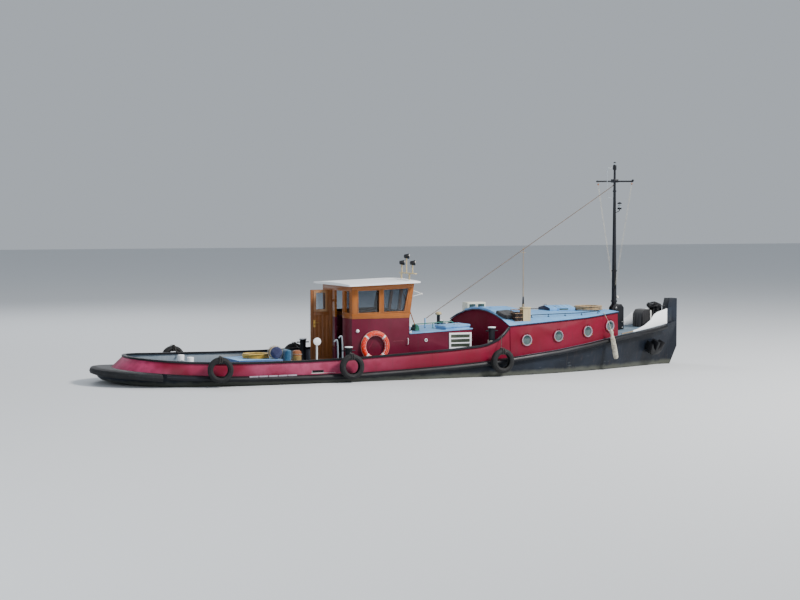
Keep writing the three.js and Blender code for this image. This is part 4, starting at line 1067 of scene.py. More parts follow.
def look_in(node, x, z, side):
    """The point and direction of a frame node's surface that is seen from one side of the boat."""
    return surface_of(node).ray_cast(Vector((x, 5 * side, z)), Vector((0, -side, 0)))[:2]


print("deck at the mast:", round(look_down("hull", 5.8, 0).z, 3), "m above the water")

# %% [markdown]
# Old car tyres hang over the side as fenders. A tyre is a hollow shell with thick rubber, so it is an open
# lathe profile from one bead round the tread to the other, given its thickness afterwards. Each tread
# face is then inset on its own and raised, which cuts the grooves between the blocks.

# %% Tyres
TYRE_SIDES = 60
TREAD_EDGE = 0.054
# Columns: radius, distance from the tyre's middle plane
TYRE_PROFILE = [
    (0.178, -0.060), (0.190, -0.071), (0.212, -0.0785), (0.228, -0.0792), (0.231, -0.0818), (0.236, -0.0818),
    (0.239, -0.0790), (0.262, -0.0765), (0.281, -0.0665), (0.291, -TREAD_EDGE), (0.294, -0.032), (0.295, -0.011),
]
TYRES = [f"tyre_{place}_{side}" for place in ("aft", "mid", "fore") for side in SIDES]


def make_tyre():
    tyre = turned("tyre", TYRE_PROFILE + [(radius, -out) for radius, out in reversed(TYRE_PROFILE)],
                  sides=TYRE_SIDES, closed=False)
    modify(tyre, "SOLIDIFY", thickness=0.013, offset=-1)
    pick(tyre, lambda centre, normal: math.hypot(centre.x, centre.y) > 0.2885 and abs(centre.z) < TREAD_EDGE)
    bpy.ops.mesh.inset(thickness=0.0035, depth=0.0055, use_individual=True)
    leave_edit()
    coat(tyre, "tyre_rubber")
    soften(tyre, 0, 40)
    return tyre


def hung_at(node):
    """The middle of a tyre's solid and the level direction straight out through it."""
    low, high = (Vector(corner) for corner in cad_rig.box(node))
    middle = (low + high) / 2
    side = math.copysign(1, middle.y)
    flat = max(frame["nodes"][node].data.polygons, key=lambda face: face.area * face.normal.y * side)
    return middle, Vector((flat.normal.x, flat.normal.y, 0)).normalized()


pattern = make_tyre()
for node in TYRES:
    middle, out = hung_at(node)
    tyre = copy_of(pattern, node + "_skin", middle, out.to_track_quat("Z", "Y").to_euler())
    stands_for(tyre, node)
bpy.data.objects.remove(pattern)
print(len(TYRES), "tyres of", len(tyre.data.polygons), "faces")

# %% [markdown]
# A tyre is lashed through its hole and over the rail. The line is pulled tight by the tyre's weight, so
# it is a loop of straight runs with rounded corners rather than a hanging curve, and it ends in a knot
# inside the bulwark.

# %% Tyre lashings
LASHING = 0.016
# Columns: how far out from the tyre's middle plane, height above its middle
LOOP_OUTLINE = [(-0.094, 0.285), (-0.075, 0.318), (0.075, 0.318), (0.094, 0.285), (0.088, 0.19), (0.05, 0.165),
                (-0.05, 0.165), (-0.088, 0.19)]


def rounded(points, share=0.25, loop=False):
    """The same line with each corner cut off twice, which rounds it."""
    points = [Vector(point) for point in points]
    for _ in range(2):
        pairs = list(zip(points, points[1:] + points[:1] if loop else points[1:]))
        cut = [a.lerp(b, part) for a, b in pairs for part in (share, 1 - share)]
        points = cut if loop else [points[0]] + cut + [points[-1]]
    return points


def knot(name, place, size):
    ball = turned(name, [(size * 0.2, -size * 0.5), (size * 0.45, -size * 0.3), (size * 0.5, 0),
                         (size * 0.42, size * 0.3), (size * 0.15, size * 0.48)], place, (0.4, 0.3, 1), 10)
    bpy.ops.object.shade_smooth()
    return ball


def rail_edge(x, side):
    """The rail's upper outer edge, abreast of a point of the boat's length."""
    return surface_of("rail_cap").find_nearest(Vector((x, side * 2.3, 1.1)))[0]


for node in TYRES:
    middle, out = hung_at(node)
    along = Vector((-out.y, out.x, 0))
    edge = rail_edge(middle.x, math.copysign(1, middle.y))
    pieces = []
    for shift in (-0.022, 0.022):
        crown = [middle + out * across + above(up) + along * shift for across, up in LOOP_OUTLINE]
        pieces.append(bar("loop", rounded(crown, loop=True), LASHING, loop=True))
    top = edge + above(LASHING / 2 + 0.001)
    inner = top - out * 0.105
    lead = [middle - out * 0.085 + above(0.31), top + out * 0.01, inner, inner - above(0.09) - out * 0.012]
    pieces.append(bar("lead", rounded(lead), LASHING))
    pieces += [knot("knot", place, 0.05) for place in (lead[0], lead[-1])]
    lashing = joined(node.replace("tyre", "lashing"), pieces)
    coat(lashing, "dark_rope")
    adds_to(lashing, node)
print("lashed to the rail at", [round(value, 2) for value in edge])

# %% [markdown]
# The lifebuoy is hard foam in an orange cover, with four white bands that hold a grab line against its
# rim. The ring is a torus, squashed a little. The bands are the ring's own faces, raised by a few
# millimetres, so they follow its section exactly.

# %% Lifebuoy
buoy_low, buoy_high = (Vector(corner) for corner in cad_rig.box("lifebuoy"))
buoy_at = (buoy_low + buoy_high) / 2
BUOY_SECTION = 0.062
BUOY_MIDDLE = (buoy_high.z - buoy_low.z) / 2 - BUOY_SECTION


def buoy_angle(centre):
    """Degrees round the ring, from 0 to 90 in each quarter."""
    return math.degrees(math.atan2(centre.z - buoy_at.z, centre.x - buoy_at.x)) % 90


leave_all()
bpy.ops.mesh.primitive_torus_add(
    location=buoy_at, rotation=(math.pi / 2, 0, 0), major_radius=BUOY_MIDDLE, minor_radius=BUOY_SECTION,
    major_segments=96, minor_segments=20,
)
buoy = newest("lifebuoy_ring")
buoy.scale.z = (buoy_high.y - buoy_low.y) / (2 * BUOY_SECTION)
settle(buoy)
coat(buoy, "buoy_orange")
pick(buoy, lambda centre, normal: abs(buoy_angle(centre) - 45) < 5)
bpy.ops.mesh.extrude_region_shrink_fatten(TRANSFORM_OT_shrink_fatten={"value": -0.0025})
leave_edit()
coat(buoy, "band_white", lambda centre, normal: abs(buoy_angle(centre) - 45) < 5.5)
soften(buoy, 0, 60)
stands_for(buoy, "lifebuoy")

grab = [buoy_at + Vector((math.cos(angle), 0, math.sin(angle))) * (BUOY_MIDDLE + BUOY_SECTION + 0.004)
        for angle in (math.radians(5 * step) for step in range(72))]
grab_line = bar("lifebuoy_grab_line", grab, 0.008, 6, loop=True)
coat(grab_line, "pale_rope")
adds_to(grab_line, "lifebuoy")

hooks = []
for lean in (-35, 35):
    angle = math.radians(-90 + lean)
    out = Vector((math.cos(angle), 0, math.sin(angle)))
    foot = buoy_at + out * (BUOY_MIDDLE + BUOY_SECTION + 0.018)
    bend = Vector((foot.x, buoy_low.y - 0.012, foot.z))
    rod = [(foot.x, buoy_high.y + 0.01, foot.z), bend, bend - out * 0.07]
    hooks.append(bar("hook", rounded(rod, 0.1), 0.014))
brackets = joined("lifebuoy_brackets", hooks)
coat(brackets, "maroon")
adds_to(brackets, "wheelhouse_lower")
print("lifebuoy", round(2 * (BUOY_MIDDLE + BUOY_SECTION), 3), "m across")

# %% [markdown]
# A porthole is a cast ring bolted to the side, round thick glass set back in it, a hinge above and two
# wing nuts below. The frame already has the raised seat and the eye, so a ray from outside finds each
# one. One porthole is modelled at the origin, looking up, and copied to all eight places.

# %% Portholes
# Columns: distance along the boat, height
PORTHOLES = [(2.58, 0.87), (3.53, 0.94), (4.47, 1.02), (5.23, 1.13)]
RIM_OUTER, RIM_INNER, EYE_DEPTH = 0.165, 0.119, 0.012


def make_porthole():
    rim = turned("rim", [(RIM_OUTER, -0.003), (RIM_OUTER, 0.004), (RIM_OUTER - 0.006, 0.009),
                         (RIM_INNER + 0.022, 0.010), (RIM_INNER + 0.017, 0.016), (RIM_INNER + 0.004, 0.015),
                         (RIM_INNER - 0.003, -0.004), (RIM_INNER - 0.004, -EYE_DEPTH - 0.002),
                         (RIM_OUTER, -0.003)], sides=48, closed=False)
    coat(rim, "crimson")
    coat(rim, "rim_grey", lambda centre, normal: math.hypot(centre.x, centre.y) < RIM_INNER + 0.03)
    glass = turned("glass", [(RIM_INNER - 0.002, -EYE_DEPTH - 0.002), (RIM_INNER - 0.002, -EYE_DEPTH + 0.004),
                             (0.07, -EYE_DEPTH + 0.007), (0.02, -EYE_DEPTH + 0.008)], sides=48)
    # The dark glass is painted shade for the cabin behind it.
    coat(glass, "porthole_glass")
    parts = [rim, glass]
    for degrees in range(0, 360, 45):
        angle = math.radians(degrees + 22.5)
        place = (0.151 * math.cos(angle), 0.151 * math.sin(angle), 0.01)
        bolt = turned("bolt", [(0.009, -0.004), (0.009, 0.004), (0.005, 0.007)], place, sides=8)
        parts.append(coat(bolt, "crimson"))
    for across in (-0.028, 0.028):
        ear = block("hinge", (across - 0.01, RIM_OUTER - 0.03, 0.002), (across + 0.01, RIM_OUTER + 0.018, 0.026))
        parts.append(coat(ear, "crimson"))
    pin = bar("pin", [(-0.045, RIM_OUTER + 0.004, 0.018), (0.045, RIM_OUTER + 0.004, 0.018)], 0.012)
    parts.append(coat(pin, "crimson"))
    for degrees in (215, 325):
        angle = math.radians(degrees)
        place = (0.15 * math.cos(angle), 0.15 * math.sin(angle), 0.01)
        nut = turned("nut", [(0.014, 0), (0.014, 0.012), (0.006, 0.016), (0.006, 0.026), (0.003, 0.028)], place,
                     sides=12)
        parts.append(coat(nut, "brass"))
    whole = joined("porthole", parts)
    soften(whole, 0.001, 40, 1)
    return whole


def facing(normal):
    """The turn that points +Z along a level direction and keeps +Y upwards."""
    up = Vector((0, 0, 1))
    out = Vector((normal.x, normal.y, 0)).normalized()
    right = up.cross(out)
    return (right, up, out)


def set_against(pattern, name, place, normal):
    """A copy of a piece that was modelled looking up, hung on a wall that looks along a direction."""
    right, up, out = facing(normal)
    copy = placed(name, pattern.data.copy())
    for corner in copy.data.vertices:
        corner.co = Vector(place) + right * corner.co.x + up * corner.co.y + out * corner.co.z
    return copy


pattern = make_porthole()
for side_name, side in SIDES.items():
    for number, (x, z) in enumerate(PORTHOLES):
        seat, normal = look_in("fore_cabin", x, z + (RIM_OUTER + RIM_INNER) / 2, side)
        middle = Vector((x, seat.y, z))
        porthole = set_against(pattern, f"porthole_{side_name}_{number}", middle, normal)
        adds_to(porthole, "fore_cabin")
bpy.data.objects.remove(pattern)
print(2 * len(PORTHOLES), "portholes")

# %% [markdown]
# The upper wheelhouse is joined from planks: a sill board, a head board, posts between the windows, and a
# bead round each pane. The grain runs along each plank, which one big face can't show, so every plank is
# its own thin board laid on the wall, with wood whose grain runs its way.

# %% Planks and window beads of the wheelhouse
HOUSE_AFT, HOUSE_FRONT, HOUSE_HALF = -1.8, -0.28, 1.0
SILL, SILL_FRONT_TOP, RAKE = 1.4503, 2.313, 0.125
PLANK, BEAD, BEAD_PROUD = 0.008, 0.026, 0.014
# Corners of each window as (along, height), from the lower aft or starboard corner, anticlockwise
SIDE_WINDOWS = [
    [(-1.645, 1.590), (-1.080, 1.602), (-1.080, 2.152), (-1.645, 2.140)],
    [(-0.970, 1.605), (-0.417, 1.618), (-0.293, 2.186), (-0.970, 2.158)],
]
FRONT_WINDOWS = [(-0.9, -0.345), (-0.27, 0.27), (0.345, 0.9)]
FRONT_SILL, FRONT_HEAD = 1.61, 2.165
AFT_WINDOW = [(-0.87, 1.59), (-0.52, 1.59), (-0.52, 2.13), (-0.87, 2.13)]
DOORWAY_EDGES = (-0.37, 0.16)
DOORWAY_HEAD, WALL_HEAD = 2.12, 2.25


def front_x(z):
    return HOUSE_FRONT + RAKE * (z - SILL) / (SILL_FRONT_TOP - SILL)


def top_z(x):
    return 2.255 + 0.058 * (x - HOUSE_AFT) / (front_x(SILL_FRONT_TOP) - HOUSE_AFT)


def on_side(side):
    """Turns (along, height) into a point of the side wall."""
    return lambda along, z: Vector((along, side * HOUSE_HALF, z))


def on_front(across, z):
    return Vector((front_x(z), across, z))


def on_aft(across, z):
    return Vector((HOUSE_AFT, across, z))


def grown(corners, margin):
    """The same four corners, moved outwards."""
    middle = [sum(values) / 4 for values in zip(*corners)]
    return [tuple(value + math.copysign(margin, value - centre) for value, centre in zip(corner, middle))
            for corner in corners]


def plank(place, corners, finish, flip, thick=PLANK):
    """One board on a wall, its corners given as (along, height)."""
    points = [place(*corner) for corner in corners]
    piece = board("plank", points[::-1] if flip else points, thick)
    return coat(piece, finish)


def bead(place, corners, flip, finish="bead_wood", width=BEAD, proud=BEAD_PROUD):
    points = [place(*corner) for corner in grown(corners, width - 0.006)]
    return coat(board("bead", points[::-1] if flip else points, proud, frame_width=width), finish)


def box_corners(left, right, low, high):
    return [(left, low), (right, low), (right, high), (left, high)]


def side_planks(side):
    place = on_side(side)
    flip = side > 0
    first, second = SIDE_WINDOWS
    rows = [
        (box_corners(HOUSE_AFT + 0.002, front_x(1.45) - 0.002, SILL + 0.002, 1.578), "wood_X"),
        ([(HOUSE_AFT + 0.002, 2.158), (front_x(2.2) - 0.004, 2.2), (front_x(2.3), top_z(-0.2) - 0.004),
          (HOUSE_AFT + 0.002, top_z(HOUSE_AFT) - 0.003)], "wood_X"),
        (box_corners(HOUSE_AFT + 0.002, first[0][0] - 0.018, 1.581, 2.155), "wood_Z"),
        ([(first[1][0] + 0.018, 1.581), (second[0][0] - 0.018, 1.581), (second[3][0] - 0.018, 2.172),
          (first[2][0] + 0.018, 2.166)], "wood_Z"),
        ([(second[1][0] + 0.022, 1.581), (front_x(1.581) - 0.003, 1.581), (front_x(2.196) - 0.003, 2.196),
          (second[2][0] + 0.022, 2.196)], "wood_Z"),
    ]
    pieces = [plank(place, corners, finish, flip) for corners, finish in rows]
    return pieces + [bead(place, window, flip) for window in SIDE_WINDOWS]


def front_planks():
    head = top_z(front_x(2.3)) - 0.006
    rows = [(box_corners(-0.996, 0.996, SILL + 0.002, 1.59), "wood_Y"),
            (box_corners(-0.996, 0.996, 2.186, head), "wood_Y")]
    edges = [-0.996] + [edge for window in FRONT_WINDOWS for edge in window] + [0.996]
    for left, right in zip(edges[::2], edges[1::2]):
        rows.append((box_corners(left + (0.018 if left > -0.99 else 0), right - (0.018 if right < 0.99 else 0),
                                 1.593, 2.183), "wood_Z"))
    pieces = [plank(on_front, corners, finish, False) for corners, finish in rows]
    return pieces + [bead(on_front, box_corners(left, right, FRONT_SILL, FRONT_HEAD), False)
                     for left, right in FRONT_WINDOWS]


def aft_planks():
    (left, low), (right, _), (_, high), _ = AFT_WINDOW
    starboard, port = DOORWAY_EDGES
    rows = [
        (box_corners(-0.996, starboard - 0.03, SILL + 0.002, low - 0.018), "wood_Y"),
        (box_corners(port + 0.03, 0.996, SILL + 0.002, 1.60), "wood_Y"),
        (box_corners(-0.996, 0.996, DOORWAY_HEAD + 0.035, WALL_HEAD), "wood_Y"),
        (box_corners(-0.996, left - 0.018, low - 0.015, DOORWAY_HEAD + 0.032), "wood_Z"),
        (box_corners(right + 0.018, starboard - 0.03, low - 0.015, DOORWAY_HEAD + 0.032), "wood_Z"),
    ]
    planks = 8
    width = (0.996 - port - 0.03) / planks
    for i in range(planks):
        start = port + 0.03 + i * width
        rows.append((box_corners(start + 0.001, start + width - 0.001, 1.603, DOORWAY_HEAD + 0.032), "wood_Z"))
    pieces = [plank(on_aft, corners, finish, True) for corners, finish in rows]
    pieces.append(bead(on_aft, AFT_WINDOW, True))
    frame_rows = [box_corners(starboard - 0.03, starboard + 0.004, SILL, DOORWAY_HEAD + 0.03),
                  box_corners(port - 0.004, port + 0.03, SILL, DOORWAY_HEAD + 0.03),
                  box_corners(starboard + 0.004, port - 0.004, DOORWAY_HEAD - 0.004, DOORWAY_HEAD + 0.03)]
    return pieces + [plank(on_aft, corners, "bead_wood", True) for corners in frame_rows]


WALLS = {name: side_planks(side) for name, side in SIDES.items()} | {"front": front_planks(), "aft": aft_planks()}
for name, pieces in WALLS.items():
    fitting("wheelhouse_planks_" + name, pieces, "wheelhouse_upper", None, 0.002, 30, 2)
print("planks on four walls")

# %% [markdown]
# The door stands open, so both its faces show. It has a frame of two stiles and three rails, a pane above,
# and upright boards below. The frame stands proud of the boards on each face.

# %% Door boards and latch
door_low, door_high = (Vector(corner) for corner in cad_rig.box("wheelhouse_door"))
DOOR_FAR, DOOR_NEAR = -2.43, -1.86
DOOR_MIDDLE, DOOR_BOARDS = 1.5, 4    # height of the middle rail, boards under it
PANE = (-2.302, -2.046, 1.64, 2.06)
STILE, RAIL = 0.075, 0.1


def door_face(side):
    """The frame and boards of one face of the door, side being -1 on its starboard face. That face
    closes against the planks of the wall, so its frame is thin."""
    face_y = 0.2 + side * 0.02
    thick = PLANK if side > 0 else 0.003

    def place(x, z):
        return Vector((x, face_y, z))

    flip = side > 0
    left, right = DOOR_FAR + STILE, DOOR_NEAR - STILE
    foot, head = door_low.z + 0.003, door_high.z - 0.003
    rows = [(DOOR_FAR, left, foot, head), (right, DOOR_NEAR, foot, head), (left, right, head - 0.05, head),
            (left, right, DOOR_MIDDLE, DOOR_MIDDLE + RAIL), (left, right, foot, foot + RAIL)]
    pieces = [plank(place, box_corners(*row), "door_wood", flip, thick) for row in rows]
    width = (right - left) / DOOR_BOARDS
    for i in range(DOOR_BOARDS):
        start = left + i * width
        corners = box_corners(start + 0.002, start + width - 0.002, foot + RAIL, DOOR_MIDDLE)
        pieces.append(plank(place, corners, "door_wood", flip, thick / 2))
    return pieces + [bead(place, box_corners(*PANE), flip, "door_bead", 0.06, 0.013)]


door_boards = fitting("door_boards", door_face(-1) + door_face(1), "wheelhouse_door", None, 0.0015, 30, 2)

latch = []
# The starboard face's latch stands further in, so that it clears the doorway's edge when the door closes
for face_y, out, plate_x in ((0.177, -1, -2.365), (0.228, 1, -2.425)):
    inner, outer = sorted((face_y, face_y + out * 0.006))
    plate = block("plate", (plate_x, inner, 1.2), (plate_x + 0.05, outer, 1.38))
    x = plate_x + 0.025
    lever = [(x, face_y, 1.31), (x, face_y + out * 0.05, 1.31), (x + 0.11, face_y + out * 0.052, 1.312)]
    latch += [plate, bar("lever", rounded(lever, 0.15), 0.016)]
fitting("door_latch", latch, "wheelhouse_door", "brass", 0.001, 35)
print("door boards:", len(door_boards.data.polygons), "faces")

# %% [markdown]
# Loose gear lies on the cabin roof: a folded tarpaulin, a beige box and a wire crate on the starboard
# side, a small two-pane light on the port side, and a grab rail along each edge. A ray cast straight down
# finds the roof's height under each of them, so that nothing hangs over the curve of the roof.

# %% Gear on the cabin roof


def on_roof(x, y):
    return look_down("fore_cabin_roof", x, y)


def roof_tilt(x, y):
    """The roof's slope across the boat, as a turn about X."""
    left, right = on_roof(x, y - 0.1), on_roof(x, y + 0.1)
    return math.atan2(right.z - left.z, 0.2)


def railing(feet, post, tall, pad, sides, rail, top, end):
    """Posts with a round pad under each, and a rail along their tops that drops at both ends."""
    posts = [bar("post", [foot - above(0.01), foot + above(tall)], post) for foot in feet]
    pads = [turned("pad", pad, foot, sides=sides) for foot in feet]
    line = [feet[0] + Vector((-0.06, 0, end)), *[foot + above(top) for foot in feet],
            feet[-1] + Vector((0.06, 0, end))]
    return posts + pads + [bar("rail", rounded(line, 0.12), rail)]


for side_name, side in SIDES.items():
    feet = [on_roof(2.95 + 0.5 * i, side * (1.27 - 0.045 * i)) for i in range(5)]
    rail = railing(feet, 0.016, 0.055, [(0.028, -0.01), (0.028, 0.006), (0.018, 0.012)], 12, 0.02, 0.058, 0.03)
    fitting("roof_grab_rail_" + side_name, rail, "fore_cabin_roof", "black", 0, 50)

BOX_AT, BOX_SIZE = (2.67, -1.47), (0.21, 0.2, 0.33)


def beige_box():
    x, y = BOX_AT
    long, deep, tall = BOX_SIZE
    foot = on_roof(x, y - deep / 2).z
    body = block("roof_box", (x - long / 2, y - deep / 2, foot), (x + long / 2, y + deep / 2, foot + tall))
    pick(body, lambda centre, normal: normal.z > 0.9)
    bpy.ops.mesh.inset(thickness=0.012, depth=0)
    bpy.ops.mesh.extrude_region_move(TRANSFORM_OT_translate={"value": (0, 0, -0.014)})
    pick(body, lambda centre, normal: normal.y < -0.9)
    bpy.ops.mesh.inset(thickness=0.02, depth=-0.006)
    leave_edit()
    lid = block("lid", (x - long / 2 - 0.008, y - deep / 2 - 0.008, foot + tall - 0.004),
                (x + long / 2 + 0.008, y + deep / 2 + 0.008, foot + tall + 0.022))
    return [body, lid]


fitting("roof_box", beige_box(), "fore_cabin_roof", "beige", 0.006, 30, 2)


def wire_crate():
    x0, x1 = 2.34, 2.55
    y0, y1 = -1.56, -1.3
    foot = on_roof((x0 + x1) / 2, y0).z
    rods = []
    for level in (0.004, 0.1, 0.2, 0.29):
        corners = [Vector((x, y, foot + level)) for x, y in ((x0, y0), (x1, y0), (x1, y1), (x0, y1))]
        rods.append(bar("hoop", corners, 0.012, 6, loop=True))
    steps = 6
    for i in range(steps + 1):
        x, y = x0 + (x1 - x0) * i / steps, y0 + (y1 - y0) * i / steps
        rods += [bar("upright", [(*place, foot), (*place, foot + 0.29)], 0.007, 6)
                 for place in ((x, y0), (x, y1), (x0, y), (x1, y))]
    filling = block("filling", (x0 + 0.01, y0 + 0.01, foot), (x1 - 0.01, y1 - 0.01, foot + 0.2))
    pick(filling, lambda centre, normal: normal.z > 0.9)
    bpy.ops.mesh.inset(thickness=0.04, depth=0.03)
    leave_edit()
    coat(filling, "black")
    return [coat(joined("rods", rods), "wire_brown"), filling]


fitting("roof_crate", wire_crate(), "fore_cabin_roof")


def roof_light():
    """A low box with two panes, standing on the port slope."""
    x0, x1, y0, y1, top = 2.14, 2.66, 0.8, 1.12, 1.7
    foot = on_roof((x0 + x1) / 2, y1).z - 0.01
    parts = [coat(block("roof_light", (x0, y0, foot), (x1, y1, top)), "cream")]
    middle = (x0 + x1) / 2
    for low, high in ((x0 + 0.02, middle - 0.01), (middle + 0.01, x1 - 0.02)):
        for y, flip in ((y0, False), (y1, True)):
            corners = [Vector((x, y, z)) for x, z in box_corners(low, high, top - 0.2, top - 0.02)]
            inner = [corner.lerp(sum(corners, Vector()) / 4, 0.12) for corner in corners]
            if flip:
                corners, inner = corners[::-1], inner[::-1]
            # The dark panes are painted shade for the room behind them.
            parts += [coat(board("frame", corners, 0.012, frame_width=0.024), "cream"),
                      coat(board("pane", inner, 0.003), "porthole_glass")]
    return parts


fitting("roof_light", roof_light(), "fore_cabin_roof", None, 0.003, 30, 2)


def rumple(piece, name, size, depth, middle, detail=2):
    """Presses random lumps about as wide as size into a piece."""
    lumps = bpy.data.textures.new(name, "CLOUDS")
    lumps.noise_scale = size
    lumps.noise_depth = detail
    modify(piece, "DISPLACE", texture=lumps, texture_coords="LOCAL", strength=depth, mid_level=middle)


def soft_bundle(name, low, high, lean, lumps=0.03):
    """A soft bag between two corners: a rounded block with lumps pressed into it."""
    bag = block(name, low, high)
    modify(bag, "BEVEL", width=min(b - a for a, b in zip(low, high)) * 0.36, segments=4)
    modify(bag, "REMESH", mode="VOXEL", voxel_size=0.014)
    rumple(bag, name, 0.16, lumps, 0.55, 3)
    rumple(bag, name + "_fine", 0.05, lumps * 0.3, 0.5)
    modify(bag, "SMOOTH", iterations=3, factor=0.5)
    work_on(bag)
    bpy.ops.object.shade_smooth()
    middle = Vector([(a + b) / 2 for a, b in zip(low, high)])
    bag.data.transform(turn_about(middle, lean))
    return bag


def turn_about(middle, angles):
    """A turn about a point, from angles in degrees."""
    spin = Euler([math.radians(angle) for angle in angles]).to_matrix().to_4x4()
    return Matrix.Translation(middle) @ spin @ Matrix.Translation(-middle)


tarp_at = on_roof(2.35, -1.16)
tilt = math.degrees(roof_tilt(2.35, -1.16))
tarpaulin = soft_bundle("roof_tarpaulin", (2.11, -1.42, tarp_at.z), (2.58, -0.92, tarp_at.z + 0.11), (tilt, 0, 8))
coat(tarpaulin, "black_canvas")
adds_to(tarpaulin, "fore_cabin_roof")
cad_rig.padded(tarpaulin, fill=0.5)
print("roof gear on a slope of", round(tilt, 1), "degrees")

# %% [markdown]
# Bollards and bitts are bare where rope runs over them, so each gets a painted cap that stands a little
# proud; the cap's white is partly a painted highlight for that bright worn metal. The deck under each gets a
# welded foot with studs. The fore bollards also hold a few tight turns of mooring rope. That rope is a helix,
# so the same twisted rope as in the coils can follow it.

# %% Caps, feet and mooring turns
# Columns: node, x, y, top, radius of the top, how far the cap reaches down
POSTS = [(f"bollard_{place}_{side_name}", x, side * y, top, 0.092, 0.012)
         for place, x, y, top in (("mid", -2.125, 1.6, 0.82), ("fore", 1.7, 1.56, 1.2))
         for side_name, side in SIDES.items()]
POSTS += [("towing_bitt", -5.7, y, 0.59, 0.076, 0.13) for y in (-0.4, 0.4)]


def ring_of(make, count, radius, start=0.0):
    """Makes a part at each of some places round a circle."""
    angles = [start + 2 * math.pi * i / count for i in range(count)]
    return [make(radius * math.cos(angle), radius * math.sin(angle)) for angle in angles]


for number, (node, x, y, top, radius, skirt) in enumerate(POSTS):
    cap = turned("cap", [(radius + 0.002, -skirt), (radius + 0.006, 0.003), (radius + 0.003, 0.01),
                         (radius * 0.7, 0.016), (0.02, 0.018)], (x, y, top))
    deck = look_down("hull", x, y)
    foot = turned("foot", [(0.14, -0.02), (0.14, 0.01), (0.13, 0.014), (radius, 0.016)], deck)
    studs = ring_of(lambda dx, dy: turned("stud", [(0.012, 0), (0.012, 0.012), (0.007, 0.016)],
                                          deck + Vector((dx, dy, 0.012)), sides=6), 6, 0.118)
    # The white cap is partly a painted highlight for the rope-worn top.
    fitting(f"post_cap_{number}", [cap], node, "white", 0.001)
    fitting(f"post_foot_{number}", [foot, *studs], node, "black", 0.001)

for side_name, side in SIDES.items():
    helix = [(1.7 + 0.09 * math.cos(angle), side * 1.56 + 0.09 * math.sin(angle), 0.80 + 0.0235 * angle / 6.283)
             for angle in (math.radians(12 * i) for i in range(30 * 3 + 15))]
    turns = twisted_rope(f"mooring_turns_{side_name}", helix, 0.022)[0]
    coat(turns, "pale_rope")
    adds_to(turns, f"bollard_fore_{side_name}")
print(len(POSTS), "caps")

# %% [markdown]
# The casing over the engine has a louvre and a round air fitting on each side, and on its roof a hinged lid,
# a green grab bar and a deck brush that leans on the wheelhouse. Dull wire mesh behind the louvre's slots
# makes them read as holes. Straps and a handle belong to the lid and ride with it.

# %% Engine casing
CASING_HALF = 1.0
AIR_X, AIR_Z = 0.166, 0.887
BAR_Y = -0.12


def on_wall(along, z, side, out=0.0):
    return Vector((along, side * (CASING_HALF + out), z))


def upright_handle(x, low, high, side):
    """A small grab handle on the side of the wheelhouse."""
    line = [on_wall(x, z, side, out) for z, out in ((low, -0.004), (low, 0.045), (high, 0.045), (high, -0.004))]
    return bar("handle", rounded(line, 0.15), 0.014)


for side_name, side in SIDES.items():
    mesh = plank(on_side(side), box_corners(0.84, 1.35, 0.7, 1.0), "mesh_olive", side > 0)
    fitting(f"louvre_mesh_{side_name}", [mesh], "engine_casing")
    seat, out = on_wall(AIR_X, AIR_Z, side), (0, side, 0)
    ring = turned("ring", [(0.022, 0), (0.022, 0.009), (0.03, 0.015), (0.039, 0.011), (0.042, 0), (0.022, 0)],
                  seat, out, 28, closed=False)
    eye = turned("eye", [(0.023, -0.002), (0.023, 0.004), (0.01, 0.005)], seat, out, 28)
    fitting(f"air_fitting_{side_name}", [coat(ring, "white"), coat(eye, "black")], "engine_casing")


def lid_top(x):
    return look_down("casing_hatch_lid", x, -0.6).z


straps = []
for x in (0.85, 1.27):
    top = lid_top(x)
    corners = [Vector((x + dx, y, top)) for dx, y in box_corners(-0.022, 0.022, -0.62, -0.3)]
    straps.append(board("strap", corners, 0.006))
    straps.append(bar("knuckle", [(x - 0.045, -0.288, top - 0.035), (x + 0.045, -0.288, top - 0.035)], 0.024))
    straps += [turned("rivet", [(0.008, 0), (0.007, 0.004), (0.003, 0.006)], (x, y, top + 0.005), sides=8)
               for y in (-0.58, -0.46, -0.36)]
grip = [(x, -0.88, lid_top(x) + up) for x, up in ((0.98, -0.002), (0.98, 0.035), (1.14, 0.035), (1.14, -0.002))]
fitting("lid_straps", straps, "casing_hatch_lid", "deck_blue", 0.001)
fitting("lid_handle", [bar("grip", rounded(grip, 0.15), 0.013)], "casing_hatch_lid", "steel")

feet = [look_down("casing_roof", x, BAR_Y) for x in (0.2, 0.74, 1.28)]
grab_bar = railing(feet, 0.02, 0.13, [(0.03, -0.004), (0.03, 0.006), (0.02, 0.01)], 14, 0.026, 0.13, 0.06)
fitting("casing_grab_bar", grab_bar, "casing_roof", "hose_green")
print("grab bar on", len(feet), "posts")

# %% [markdown]
# The brush is a head with a shaft that leans on the wheelhouse. Its bristles are one block cut into small
# faces, whose corners spread a little at random towards the roof, as worn bristles do.

# %% Deck brush
BRUSH = Vector((0.13, -0.4, 0))
BRISTLE = 0.11           # length of the bristles
floor_here = look_down("casing_roof", BRUSH.x, BRUSH.y).z


def brush_block(name, half_x, half_y, low, high):
    """A block of the brush, its heights measured from the casing's roof."""
    return block(name, (BRUSH.x - half_x, BRUSH.y - half_y, floor_here + low),
                 (BRUSH.x + half_x, BRUSH.y + half_y, floor_here + high))


